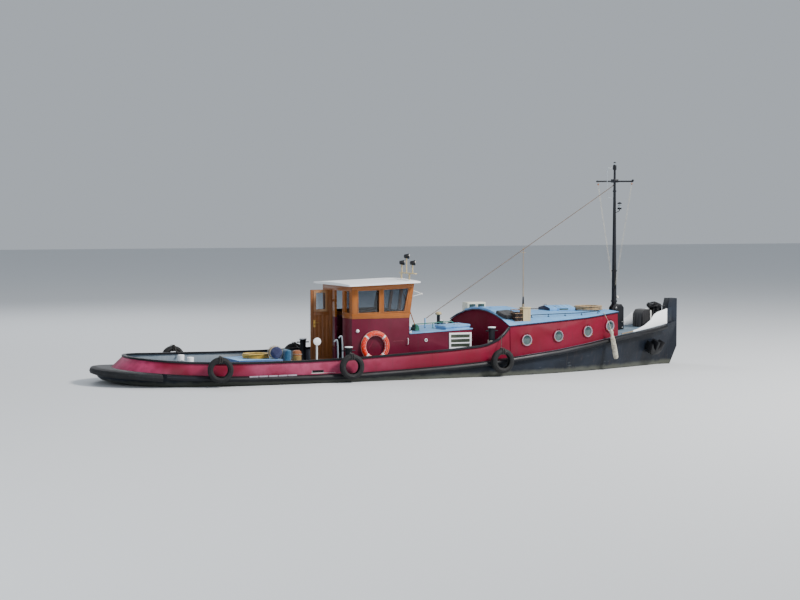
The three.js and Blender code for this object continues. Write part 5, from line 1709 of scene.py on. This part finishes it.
head = brush_block("head", 0.035, 0.13, 0.1, 0.14)
bristles = brush_block("bristles", 0.045, 0.14, 0.001, BRISTLE)
pick_all(bristles)
bpy.ops.mesh.subdivide(number_cuts=12)
leave_edit()
loose = random.Random(5)
for corner in bristles.data.vertices:
    low = (floor_here + BRISTLE - corner.co.z) / BRISTLE
    corner.co.x += loose.uniform(-0.006, 0.006) + 0.2 * low * (corner.co.x - BRUSH.x)
    corner.co.y += loose.uniform(-0.006, 0.006) + 0.1 * low * (corner.co.y - BRUSH.y)
shaft = bar("shaft", [BRUSH + above(floor_here + 0.12), (front_x(2.02) + 0.018, -0.4, 2.02)], 0.026)
fitting("deck_brush", [coat(head, "hose_green"), coat(bristles, "green_bristle"), coat(shaft, "wood_Z")],
        "casing_roof", None, 0.001)
print("brush on a roof", round(floor_here, 3), "m above the water")

# %% [markdown]
# The engine shows dimly through the louvre. Four rocker covers with their bolts, the exhaust branches and a
# fuel pipe make the plain block look like one.

# %% Top of the engine
rockers = []
for i in range(4):
    x = 0.13 + 0.3 * i
    cover = block("rocker", (x - 0.11, -0.13, 0.895), (x + 0.11, 0.13, 0.965))
    soften(cover, 0.02, 40, 3)
    rockers.append(coat(cover, "engine_green"))
    bolts = [turned("bolt", [(0.014, 0), (0.014, 0.014), (0.006, 0.018)], (x + dx, 0, 0.963), sides=6)
             for dx in (-0.06, 0.06)]
    rockers += [coat(bolt, "steel") for bolt in bolts]
    branch = bar("branch", rounded([(x, 0.1, 0.93), (x, 0.24, 0.93), (x, 0.28, 0.92)]), 0.05)
    rockers.append(coat(branch, "pole_brown"))
rockers.append(coat(bar("manifold", [(0.0, 0.29, 0.925), (1.2, 0.29, 0.925)], 0.08, 12), "pole_brown"))
fuel_line = [(0.02, -0.2, 0.9), (0.02, -0.22, 0.95), (1.15, -0.22, 0.95), (1.15, -0.2, 0.9)]
rockers.append(coat(bar("fuel_pipe", rounded(fuel_line, 0.1), 0.018), "brass"))
fitting("engine_top", rockers, "engine_block")
print("engine top:", len(rockers), "parts")

# %% [markdown]
# On the wheelhouse there are small lights, a handle, a weld seam, two straps behind the lifebuoy and a light
# bracket at the front corner. Each lamp of the rack gets a bezel and a lens, because a lamp without glass
# looks like a plug of steel.

# %% Wheelhouse fittings
AHEAD = (1, 0, 0)
for side_name, side in SIDES.items():
    out = (0, side, 0)
    dome = turned("dome", [(0.042, 0), (0.042, 0.014), (0.035, 0.03), (0.022, 0.042), (0.008, 0.046)],
                  on_wall(-1.657, 1.157, side), out, 20)
    clips = []
    for z in (1.25, 1.09):
        seat = on_wall(-0.25, z, side)
        hook = [seat, on_wall(-0.25, z, side, 0.04), on_wall(-0.25, z + 0.05, side, 0.045)]
        clips.append(turned("pad", [(0.03, 0), (0.03, 0.007), (0.012, 0.012)], seat, out, 14))
        clips.append(bar("hook", rounded(hook), 0.014))
    fitting(f"corner_lights_{side_name}", [dome, *clips, upright_handle(-0.33, 0.80, 0.95, side)],
            "wheelhouse_lower", "white", 0.0005)
    seams = [bar("seam", [on_wall(-0.72, 0.885, side), on_wall(-0.426, 0.885, side)], 0.01)]
    if side < 0:
        seams += [bar("strap", [on_wall(*top, side, 0.002), on_wall(*foot, side, 0.002)], 0.014)
                  for top, foot in (((-1.237, 0.921), (-1.358, 0.728)), ((-1.118, 0.918), (-0.994, 0.747)))]
    fitting(f"wall_seams_{side_name}", seams, "wheelhouse_lower", "crimson")

tip = Vector((0.09, -0.9, 2.03))
arms = [turned("lamp", [(0.012, -0.02), (0.024, -0.012), (0.026, 0.012), (0.012, 0.022)], tip, AHEAD, 14)]
for z in (2.14, 1.96):
    arms.append(bar("arm", [(front_x(z), -0.9, z), tip], 0.014))
    arms.append(turned("pad", [(0.022, -0.004), (0.022, 0.006), (0.01, 0.01)], (front_x(z) + 0.008, -0.9, z),
                       (1, 0, 0.14), 12))
fitting("corner_bracket", arms, "wheelhouse_upper", "band_white")

BEZEL = [(0.05, 0), (0.05, 0.007), (0.058, 0.012), (0.066, 0.008), (0.067, -0.012), (0.05, 0)]
LENS = [(0.051, -0.001), (0.051, 0.003), (0.034, 0.008), (0.012, 0.01)]
lenses = []
for y, z in LAMPS:
    place = (-0.095, y, z)
    gland = [(-0.16, y, z - 0.05), (-0.17, y, z - 0.09), (-0.15, y, z - 0.16)]
    lenses += [coat(turned("bezel", BEZEL, place, AHEAD, 28, closed=False), "steel"),
               coat(turned("lens", LENS, place, AHEAD, 28), "lamp_glass"),
               coat(bar("gland", rounded(gland), 0.012), "black")]
fitting("rack_lenses", lenses, "lamp_rack")

for number, (x, high) in enumerate(((-2.169, 0.93), (-2.05, 1.02))):
    foot = look_down("hull", x, -1.0)
    bend = [foot, (x, -1.0, high), (x - 0.05, -1.0, high + 0.04), (x - 0.1, -1.0, high - 0.02)]
    pipe = bar("pipe", rounded(bend, 0.3), 0.038, 12)
    collar = turned("collar", [(0.05, -0.01), (0.05, 0.012), (0.024, 0.02)], foot, sides=16)
    fitting(f"vent_pipe_{number}", [pipe, collar], "hull", "grey")
print("wheelhouse fitted")

# %% [markdown]
# Through the panes one sees the helm: instruments on the console's top, a compass under a small dome and
# two throttle levers. The dials are bare faces with a rim and a hand.

# %% Helm instruments
CONSOLE_TOP = 1.3
DIAL_RIM = [(0.046, -0.003), (0.05, 0.004), (0.05, 0.014), (0.042, 0.02), (0.04, 0.008), (0.046, -0.003)]
DIAL_FACE = [(0.042, 0.004), (0.042, 0.010), (0.01, 0.011)]
DIAL_LEAN = (-0.25, 0, 1)
# Columns: part of the compass, profile, finish
COMPASS = [
    ("bowl", [(0.085, -0.004), (0.085, 0.02), (0.07, 0.05), (0.07, 0.085), (0.05, 0.115), (0.015, 0.128)], "black"),
    ("card", [(0.072, 0.052), (0.073, 0.08), (0.054, 0.112), (0.02, 0.127), (0.01, 0.132)], "lamp_glass"),
]
helm = []
for y in (-0.36, -0.22, 0.24):
    centre = Vector((-0.52, y, CONSOLE_TOP))
    helm.append(coat(turned("rim", DIAL_RIM, centre, DIAL_LEAN, 28, closed=False), "black"))
    helm.append(coat(turned("face", DIAL_FACE, centre, DIAL_LEAN, 28), "band_white"))
    helm.append(coat(bar("hand", [centre + above(0.013), centre + Vector((0.025, 0.018, 0.019))], 0.003), "black"))
helm += [coat(turned(name, profile, (-0.48, 0, CONSOLE_TOP), sides=32), finish) for name, profile, finish in COMPASS]
quadrant = block("quadrant", (-0.58, 0.32, CONSOLE_TOP - 0.005), (-0.44, 0.42, CONSOLE_TOP + 0.06))
soften(quadrant, 0.012, 35)
helm.append(coat(quadrant, "steel"))
for y, finish in ((0.35, "buoy_orange"), (0.39, "black")):
    helm.append(coat(bar("lever", [(-0.51, y, CONSOLE_TOP + 0.05), (-0.55, y, CONSOLE_TOP + 0.17)], 0.012), "steel"))
    helm.append(coat(turned("knob", [(0.01, -0.02), (0.02, -0.01), (0.02, 0.01), (0.008, 0.02)],
                            (-0.555, y, CONSOLE_TOP + 0.185), sides=16), finish))
fitting("helm_instruments", helm, "helm_console", None, 0.0005)
print("helm:", len(helm), "parts")

# %% [markdown]
# The gear along the middle of the cabin roof: panes in the sides of the skylight, a handle and hinges on the
# small hatch, a framed lid on the locker, and at the aerial a dark foot and a short crosspiece.

# %% Middle of the cabin roof
SKYLIGHT_HALF = 0.33
panes = []
for side in (-1, 1):
    def on_skylight(along, z):
        return Vector((along, side * SKYLIGHT_HALF, z))
    flip = side > 0
    window = box_corners(4.225, 4.5, 1.505, 1.562)
    panes.append(bead(on_skylight, window, flip, "deck_blue", 0.016, 0.01))
    glass = [on_skylight(*corner) for corner in window]
    # The dark panes are painted shade for the room behind them.
    panes.append(coat(board("pane", glass[::-1] if flip else glass, 0.004), "porthole_glass"))
for x in (4.3, 4.45, 4.6):
    ridge = look_down("skylight", x, 0)
    eaves = [look_down("skylight", x, y) for y in (-0.32, 0.32)]
    panes.append(coat(bar("astragal", [eaves[0], ridge + above(0.002), eaves[1]], 0.014), "deck_blue"))
fitting("skylight_panes", panes, "skylight", None, 0.001)

crown = look_down("roof_hatch", 4.07, 0).z
grip = [(4.0, y, crown + up - 0.008) for y, up in ((-0.07, 0), (-0.07, 0.032), (0.07, 0.032), (0.07, 0))]
hinges = [bar("hinge", [(4.183, y - 0.03, crown - 0.03), (4.183, y + 0.03, crown - 0.03)], 0.02)
          for y in (-0.18, 0.18)]
fitting("hatch_grip", [bar("grip", rounded(grip, 0.15), 0.013), *hinges], "roof_hatch", "steel")

lids = []
for low, high in ((-0.86, -0.02), (0.02, 0.86)):
    corners = [look_down("roof_locker", x, y) for x, y in box_corners(2.14, 2.86, low, high)]
    lids.append(board("lid", corners, 0.008, frame_width=0.03))
    grip = [look_down("roof_locker", 2.2, (low + high) / 2 + dy) + above(up)
            for dy, up in ((-0.06, 0), (-0.06, 0.03), (0.06, 0.03), (0.06, 0))]
    lids.append(bar("grip", rounded(grip, 0.15), 0.012))
fitting("locker_lids", lids, "roof_locker", "deck_blue", 0.001)

foot = look_down("fore_cabin_roof", 3.48, 0.25)
sleeve = turned("sleeve", [(0.042, -0.01), (0.042, 0.02), (0.03, 0.03), (0.024, 0.2), (0.016, 0.34)], foot, sides=16)
fitting("aerial_foot", [sleeve], "aerial_pole", "black", 0.001)
cross = [bar("cross", [(3.42, 0.25, 3.0), (3.54, 0.25, 3.0)], 0.016),
         bar("tee", [(3.48, 0.2, 3.08), (3.48, 0.3, 3.08)], 0.012)]
fitting("aerial_crosspiece", cross, "aerial_pole", "pole_brown")
print("roof middle fitted")

# %% [markdown]
# Soft gear lies on the aft deck: a rolled bag on the hatch, a blue cushion on edge and a tan roll behind it.
# A stuffed thing is tight in its middle and slack at its ends. So each is a rounded shape that Blender's
# cloth then blows up, with no weight on it, as its stuffing would. The move is capped so that nothing
# grows into its neighbours.

# %% Padded gear on the aft deck
MOST_SWELL = 0.014


def keep_cloth(piece, cloth, moments, most):
    """Runs a cloth simulation, moves each corner towards where it ends, and drops the cloth."""
    for moment in range(1, moments + 1):
        bpy.context.scene.frame_set(moment)
    moved = piece.evaluated_get(bpy.context.evaluated_depsgraph_get()).data
    moves = [after.co - before.co for before, after in zip(piece.data.vertices, moved.vertices)]
    piece.modifiers.remove(cloth)
    bpy.context.scene.frame_set(1)
    for corner, move in zip(piece.data.vertices, moves):
        corner.co += move * min(1.0, most / max(move.length, 1e-9))


def swell(piece, pressure=4.0):
    """Blows a closed soft piece up a little with a cloth simulation and keeps the result."""
    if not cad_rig.quick():
        cloth = piece.modifiers.new("cloth", "CLOTH")
        cloth.settings.quality = 5
        cloth.settings.use_pressure = True
        cloth.settings.uniform_pressure_force = pressure
        cloth.settings.effector_weights.gravity = 0
        keep_cloth(piece, cloth, 20, MOST_SWELL)
    modify(piece, "SUBSURF", levels=1, render_levels=1)
    work_on(piece)
    bpy.ops.object.shade_smooth()
    return piece


def soft_roll(name, foot, head, radius):
    """A stuffed roll between two points, drawn in at both ends."""
    axis = Vector(head) - Vector(foot)
    outline = [(0.55, 0), (0.9, 0.05), (1, 0.15), (0.96, 0.5), (1, 0.85), (0.9, 0.95), (0.55, 1)]
    roll = turned(name, [(radius * wide, axis.length * share) for wide, share in outline], foot, axis, 32)
    modify(roll, "REMESH", mode="VOXEL", voxel_size=0.012)
    rumple(roll, name, 0.09, 0.022, 0.6)
    modify(roll, "SMOOTH", iterations=2, factor=0.5)
    return roll


def tie(foot, head, share, radius):
    """A thin line tied tightly round a roll."""
    foot, head = Vector(foot), Vector(head)
    spin = (head - foot).to_track_quat("Z", "Y").to_matrix()
    centre = foot.lerp(head, share)
    return bar("tie", [centre + spin @ Vector((radius * math.cos(angle), radius * math.sin(angle), 0))
                       for angle in (math.radians(15 * i) for i in range(24))], 0.01, 6, loop=True)


# Columns: name, foot, head, radius, finish, finish of its middle
ROLLS = [
    ("deck_roll_navy", (-3.585, -0.60, 0.655), (-3.585, -0.30, 0.655), 0.15, "navy_canvas", "tan_canvas"),
    ("deck_roll_tan", (-3.07, -0.55, 0.225), (-3.05, -0.53, 0.70), 0.115, "rust_canvas", "tan_canvas"),
]
for name, foot, head, radius, finish, middle_finish in ROLLS:
    roll = swell(soft_roll(name, foot, head, radius))
    coat(roll, finish)
    start, axis = Vector(foot), Vector(head) - Vector(foot)
    coat(roll, middle_finish, lambda centre, normal: 0.3 < (centre - start).dot(axis) / axis.length_squared < 0.72)
    adds_to(roll, "aft_hatch")
    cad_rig.padded(roll, fill=0.7)
    ties = [tie(foot, head, share, radius + 0.012) for share in (0.22, 0.8)]
    fitting(name + "_ties", ties, "aft_hatch", "pale_rope")

deck_height = look_down("hull", -3.33, -0.5).z
cushion = soft_bundle("deck_cushion", (-3.395, -0.72, deck_height + 0.004), (-3.265, -0.32, deck_height + 0.53),
                      (0, 3, 0), 0.012)
swell(cushion)
coat(cushion, "blue_canvas")
adds_to(cushion, "aft_hatch")
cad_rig.padded(cushion, fill=0.8)
print("deck gear:", [len(piece.data.polygons) for piece in (roll, cushion)])

# %% [markdown]
# The windlass's gearbox stands under a fitted cover of black canvas. The cover is one open sheet: a copy of
# the solid, cut open below, with folds that deepen towards its hem. A cloth simulation then lets it settle
# on the gearbox, and a webbing strap holds it.

# %% Windlass cover
MOST_HANG = 0.03
cover_low, cover_high = (Vector(corner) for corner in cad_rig.box("windlass_cover"))
cover_mid = (cover_low + cover_high) / 2
gearbox = welded_copy("windlass_cover", "windlass_gearbox")
for corner in gearbox.data.vertices:
    corner.co.x = cover_mid.x + 0.86 * (corner.co.x - cover_mid.x)
    corner.co.y = cover_mid.y + 0.9 * (corner.co.y - cover_mid.y)
    corner.co.z = cover_low.z + 0.94 * (corner.co.z - cover_low.z)
soften(gearbox, 0.03, 30, 3)
coat(gearbox, "grey")
adds_to(gearbox, "windlass_frame")

cover = welded_copy("windlass_cover", "windlass_canvas")
modify(cover, "BEVEL", width=0.02, segments=2, limit_method="ANGLE", angle_limit=math.radians(40))
modify(cover, "REMESH", mode="VOXEL", voxel_size=0.012)
pick(cover, lambda centre, normal: centre.z < cover_low.z + 0.014)
bpy.ops.mesh.delete(type="FACE")
leave_edit()
for corner in cover.data.vertices:
    hang = (cover_high.z - corner.co.z) / (cover_high.z - cover_low.z)
    out = Vector((corner.co.x - cover_mid.x, corner.co.y - cover_mid.y, 0))
    angle = math.atan2(out.y * 0.7, out.x)
    fold = 0.35 * math.sin(14 * angle) + 0.25 * math.sin(9 * angle + 1) + 0.2 * math.sin(23 * angle + 2)
    corner.co += out.normalized() * 0.012 * hang ** 1.4 * fold - out * 0.03
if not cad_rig.quick():
    gearbox.modifiers.new("solid", "COLLISION")
    gearbox.collision.thickness_outer = 0.004
    cloth = cover.modifiers.new("cloth", "CLOTH")
    cloth.settings.quality = 6
    cloth.settings.tension_stiffness = 40
    cloth.settings.bending_stiffness = 2
    cloth.collision_settings.distance_min = 0.004
    keep_cloth(cover, cloth, 24, MOST_HANG)
    gearbox.modifiers.clear()
modify(cover, "SMOOTH", iterations=2, factor=0.4)
modify(cover, "SUBSURF", levels=1, render_levels=1)
cover_area = sum(face.area for face in cover.data.polygons)
cover_tree = tree_of(cover.data)
modify(cover, "SOLIDIFY", thickness=0.003, offset=0)
work_on(cover)
bpy.ops.object.shade_smooth()
coat(cover, "black_canvas")
stands_for(cover, "windlass_cover")

strap_x = cover_mid.x + 0.10
across = [cover_tree.ray_cast(Vector((strap_x, 2 * side, cover_low.z + 0.03 + 0.05 * i)), Vector((0, -side, 0)))[0]
          for side, steps in ((-1, range(9)), (1, range(8, -1, -1))) for i in steps]
over = [cover_tree.ray_cast(Vector((strap_x, y, 3)), DOWNWARDS)[0] for y in (-0.15, 0, 0.15)]
across = [point for point in across if point]
path = across[:len(across) // 2] + over + across[len(across) // 2:]
middle = Vector((strap_x, 0, cover_mid.z - 0.1))
path = [point + (point - middle).normalized() * 0.006 for point in path]
strap = [bar("strap", [point + Vector((shift, 0, 0)) for point in path], 0.013) for shift in (-0.01, 0, 0.01)]
strap = fitting("windlass_strap", strap, "windlass_frame", "band_white")
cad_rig.sheet(cover, flat=(1.0, 1.2), area=round(cover_area, 3), held="draped", rests_on=[gearbox], with_pieces=[strap])
print("cover of", round(cover_area, 2), "square metres")

# %% [markdown]
# The drum is turned by a long bar through its boss, and its shaft ends in square nuts. These ride with the
# drum. A brake band and a pawl belong to the frame and stay still.

# %% Windlass gear
SHAFT_X, SHAFT_Z = 7.26, 1.56


def at_shaft(x, y, z):
    """A place measured from the middle of the windlass's shaft."""
    return (SHAFT_X + x, y, SHAFT_Z + z)


gear = []
for side in (-1, 1):
    gear.append(turned("nut", [(0.03, 0), (0.03, 0.02), (0.02, 0.028)], at_shaft(0, side * 0.285, 0), (0, side, 0), 6))
    gear += ring_of(lambda dx, dz: bar("spoke", [at_shaft(0, side * 0.19, 0), at_shaft(dx, side * 0.19, dz)], 0.016),
                    6, 0.085)
gear.append(bar("crank", [at_shaft(-0.17, -0.275, 0), at_shaft(0.17, -0.275, 0)], 0.022))
fitting("windlass_gear", gear, "windlass_drum", "black", 0.001)
band = [at_shaft(0.103 * math.cos(angle), 0, 0.103 * math.sin(angle))
        for angle in (math.radians(degrees) for degrees in range(-60, 150, 15))]
pawl = bar("pawl", [at_shaft(-0.13, 0.1, -0.12), at_shaft(-0.09, 0.1, -0.02)], 0.018)
fitting("windlass_brake", [bar("band", band, 0.012), pawl], "windlass_frame", "black")
print("windlass gear:", len(gear), "parts")

# %% [markdown]
# The fender by the fore cabin is worn rope work: a core with strands plaited over it. Half of the strands
# wind one way and half the other, and where they cross, one goes over and the other under. Their distance
# from the middle follows the solid's own profile, from the knob at the top to the thick lower end.

# %% Rope fender
FENDER_FOOT, FENDER_TOP = Vector((5.300, -1.434, 0.300)), Vector((5.151, -1.434, 1.035))
# Columns: share of the length from the foot, radius
FENDER_PROFILE = [(0.0, 0.030), (0.04, 0.052), (0.12, 0.060), (0.4, 0.060), (0.7, 0.050), (0.82, 0.034),
                  (0.86, 0.030), (0.90, 0.044), (0.95, 0.046), (1.0, 0.018)]
STRANDS, STRAND_THICK, WINDINGS, STRAND_STEPS = 8, 0.017, 2.2, 72


def fender_radius(share):
    for (a, low), (b, high) in zip(FENDER_PROFILE, FENDER_PROFILE[1:]):
        if share <= b:
            return low + (high - low) * (share - a) / (b - a)
    return FENDER_PROFILE[-1][1]


fender_axis = FENDER_TOP - FENDER_FOOT
core = turned("core", [(max(radius - 0.012, 0.01), share * fender_axis.length) for share, radius in FENDER_PROFILE],
              FENDER_FOOT, fender_axis, 20)
fender_turn = fender_axis.to_track_quat("Z", "Y").to_matrix()
plait = [core]
for way in (-1, 1):
    for strand in range(STRANDS):
        line = []
        for i in range(STRAND_STEPS + 1):
            share = i / STRAND_STEPS
            angle = way * 2 * math.pi * WINDINGS * share + 2 * math.pi * strand / STRANDS
            weave = 0.004 * way * math.cos(STRANDS * WINDINGS * 2 * math.pi * share)
            radius = fender_radius(share) + weave - 0.004
            out = Vector((radius * math.cos(angle), radius * math.sin(angle), 0))
            line.append(FENDER_FOOT + fender_axis * share + fender_turn @ out)
        plait.append(bar("strand", line, STRAND_THICK, 6))
plait.append(knot("knot", FENDER_TOP + above(-0.005), 0.06))
eye_at = look_down("fore_cabin_roof", 5.04, -1.24)
plait.append(bar("lanyard", [FENDER_TOP, Vector((5.09, -1.40, 1.25)), eye_at + Vector((0, -0.02, 0.02))], 0.012))
plait.append(knot("knot", eye_at + Vector((0, -0.01, 0.02)), 0.035))
rope_fender = joined("rope_fender_plait", plait)
coat(rope_fender, "fender_rope")
soften(rope_fender, 0, 60)
stands_for(rope_fender, "rope_fender")
eye = [eye_at + Vector((0.016 * math.cos(angle), 0, 0.012 + 0.016 * math.sin(angle)))
       for angle in (math.radians(30 * i) for i in range(12))]
fitting("fender_eye", [bar("eye", eye, 0.008, 6, loop=True)], "fore_cabin_roof", "steel")
print("fender:", len(rope_fender.data.polygons), "faces")

# %% [markdown]
# The mast carries a steaming light, a small lamp on its top, an aerial of bent wire and two signal halyards
# that run from blocks under the yard to a cleat. All of it folds with the mast. The bolt that the mast
# turns on belongs to the tabernacle.

# %% Mast fittings
MAST_X, MAST_TOP, YARD_Z, YARD_HALF = 6.04, 5.28, 4.87, 0.95
# Columns: part of a ship's lamp, its profile in shares of the lamp's radius and height, finish
LAMP_PARTS = [
    ("foot", [(1, 0), (1.15, 0.06), (1.15, 0.2), (0.8, 0.26)], "black"),
    ("lens", [(0.9, 0.24), (0.98, 0.4), (0.98, 0.6), (0.9, 0.74)], "lamp_glass"),
    ("cap", [(0.8, 0.72), (1.2, 0.76), (1.1, 0.88), (0.4, 1)], "black"),
]
rig = []


def add_rod(name, points, thick, finish, sides=8):
    rig.append(coat(bar(name, points, thick, sides), finish))


def add_turned(name, profile, place, finish, towards=(0, 0, 1), sides=24):
    rig.append(coat(turned(name, profile, place, towards, sides), finish))


for place, radius, tall in (((MAST_X, 0, MAST_TOP - 0.01), 0.03, 0.1), ((MAST_X + 0.15, 0, 4.12), 0.05, 0.19)):
    for name, profile, finish in LAMP_PARTS:
        add_turned(name, [(radius * wide, tall * high) for wide, high in profile], place, finish)
bracket = [(MAST_X, 0, 4.02), (MAST_X + 0.15, 0, 4.08), (MAST_X + 0.15, 0, 4.13)]
add_rod("bracket", rounded(bracket, 0.2), 0.022, "black")
aerial = [(MAST_X + ahead, 0.02, z) for ahead, z in ((0, 5.2), (-0.21, 5.21), (-0.22, 4.45), (-0.03, 4.4))]
add_rod("aerial", rounded(aerial, 0.08), 0.012, "grey")
for side in (-1, 1):
    end = Vector((MAST_X, side * (YARD_HALF - 0.06), YARD_Z))
    add_turned("tip", [(0.022, 0), (0.026, 0.01), (0.026, 0.04), (0.014, 0.05)],
               (MAST_X, side * (YARD_HALF - 0.03), YARD_Z), "black", (0, side, 0), 12)
    add_rod("strop", [end, end - above(0.06)], 0.008, "steel")
    add_turned("block", [(0.012, -0.014), (0.026, -0.008), (0.026, 0.008), (0.012, 0.014)],
               end - above(0.085), "wood_Z", AHEAD, 16)
    for shift in (-0.012, 0.012):
        add_rod("halyard", [end + Vector((shift, 0, -0.09)), (MAST_X + shift, side * 0.075, 2.12)], 0.006,
                "pale_rope", 6)
    add_rod("cleat", [(MAST_X, side * 0.082, 2.02), (MAST_X, side * 0.082, 2.16)], 0.018, "black")
    add_rod("horn", [(MAST_X, side * 0.05, 2.09), (MAST_X, side * 0.085, 2.09)], 0.02, "black")
add_turned("lamp", [(0.014, -0.03), (0.03, -0.02), (0.03, 0.03), (0.016, 0.04)], (MAST_X + 0.1, 0, 1.8), "band_white")
add_rod("bracket", [(MAST_X, 0, 1.8), (MAST_X + 0.09, 0, 1.8)], 0.016, "black")
for z, radius in ((1.7, 0.078), (2.5, 0.068), (4.6, 0.042)):
    add_turned("band", [(radius, -0.02), (radius + 0.006, -0.016), (radius + 0.006, 0.016), (radius, 0.02)],
               (MAST_X, 0, z), "black")
add_rod("shackle", [(MAST_X - 0.03, 0, 4.76), (MAST_X - 0.06, 0, 4.75)], 0.02, "steel")
fitting("mast_fittings", rig, "mast")

bolt = [bar("bolt", [(MAST_X, -0.14, 1.52), (MAST_X, 0.14, 1.52)], 0.034, 12)]
for side in (-1, 1):
    out = (0, side, 0)
    bolt.append(turned("nut", [(0.036, 0), (0.036, 0.022), (0.024, 0.028)], (MAST_X, side * 0.112, 1.52), out, 6))
    bolt += [turned("nut", [(0.02, 0), (0.02, 0.014), (0.012, 0.018)], (x, side * 0.112, z), out, 6)
             for x, z in ((6.0, 1.2), (6.22, 1.15), (6.0, 1.05), (6.22, 1.0))]
fitting("tabernacle_bolts", bolt, "tabernacle", "steel", 0.001)
print("rig:", len(rig), "parts")

# %% [markdown]
# Last comes the hull: a pale line where the bulwark stands on the strake, a toe rail along the fore deck,
# flaps in the freeing ports, painted black as shade for the dark openings, worn rubbing plates on the strake,
# and blocks of zinc against corrosion under water. Rays from the side find the surface for each.

# %% Hull fittings
FREEING_X, FREEING_Z = -2.985, 0.36


def foot_line(node, strake, places, side, out):
    """The points where a wall stands on the strake, from (x, height of the ray) pairs."""
    line = []
    for x, z in places:
        wall = look_in(node, x, z, side)[0]
        foot = wall and surface_of(strake).ray_cast(Vector((x, wall.y + side * out, 2)), DOWNWARDS)[0]
        if foot:
            line.append(foot + above(0.002))
    return line


for side_name, side in SIDES.items():
    strake = f"rubbing_strake_{side_name}"
    aft_places = [(-2.5 + 0.2 * i, 0.55) for i in range(22)]
    fore_places = [(x, 0.75 + 0.125 * (x - 2)) for x in (1.95 + 0.2 * i for i in range(19))]
    lines = [foot_line("bulwark", strake, aft_places, side, 0.012),
             foot_line("fore_cabin", strake, fore_places, side, 0.01)]
    fitting(f"foot_line_{side_name}", [bar("line", line, 0.014, 6) for line in lines if len(line) > 1], strake,
            "rim_grey")

    rail = []
    for i in range(9):
        x = 5.68 + 0.09 * i
        edge = look_in("hull", x, look_down("hull", x, 0).z - 0.03, side)[0]
        rail.append(look_down("hull", x, edge.y - side * 0.05) + above(0.016))
    fitting(f"toe_rail_{side_name}", [bar("rail", rail, 0.034)], "hull", "pole_brown")

    plates = []
    for i in range(5):
        seat, normal = look_in(strake, -4.62 + 0.24 * i, 0.21, side)
        plate = block("plate", (-0.11, -0.03, -0.004), (0.11, 0.03, 0.006))
        plates.append(set_against(plate, "plate", seat, normal))
        bpy.data.objects.remove(plate)
    fitting(f"rubbing_plates_{side_name}", plates, strake, "rim_grey", 0.002)

    wall_y = look_in("bulwark", FREEING_X, FREEING_Z, side)[0].y
    inner, outer = sorted((wall_y, wall_y - side * 0.016))
    # A black flap in the port: its black is painted shade for the port's dark opening.
    flap = block("flap", (-3.118, inner, 0.25), (-2.852, outer, 0.298))
    face_y, sill_y = wall_y + side * 0.004, wall_y + side * 0.006
    far_y = look_in("bulwark", -2.54, FREEING_Z, side)[0].y + side * 0.006
    rod = bar("rod", [(-3.13, face_y, 0.306), (-2.84, face_y, 0.306)], 0.014)
    sill = bar("sill", [(-3.16, sill_y, 0.243), (-2.54, far_y, 0.243)], 0.014)
    edge = bar("edge", [(-3.135, face_y, 0.24), (-3.135, face_y, 0.31)], 0.012)
    parts = [coat(flap, "black"), coat(rod, "black"), coat(sill, "band_white"), coat(edge, "rim_grey")]
    fitting(f"freeing_port_with_shade_{side_name}", parts, "bulwark", None, 0.001)

    zincs = []
    for x, z in ((-5.2, -0.35), (-4.3, -0.5), (-3.2, -0.5), (0.5, -0.55), (3.0, -0.5)):
        seat, normal = look_in("hull", x, z, side)
        zinc = block("zinc", (-0.15, -0.045, -0.01), (0.15, 0.045, 0.04))
        soften(zinc, 0.012, 35)
        zincs.append(set_against(zinc, "zinc", seat, normal))
        bpy.data.objects.remove(zinc)
    fitting(f"zincs_{side_name}", zincs, "hull", "grey")
print("hull fitted")

# %% [markdown]
# The last cell writes the size of the dressed boat and the size of the bare frame to extents.json.

# %% Size
visual_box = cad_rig.bounds()
sizes = {"cad": [list(corner) for corner in cad_box], "visual": [list(corner) for corner in visual_box]}
with open("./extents.json", "w") as file:
    json.dump(sizes, file)
print("size:", sizes)
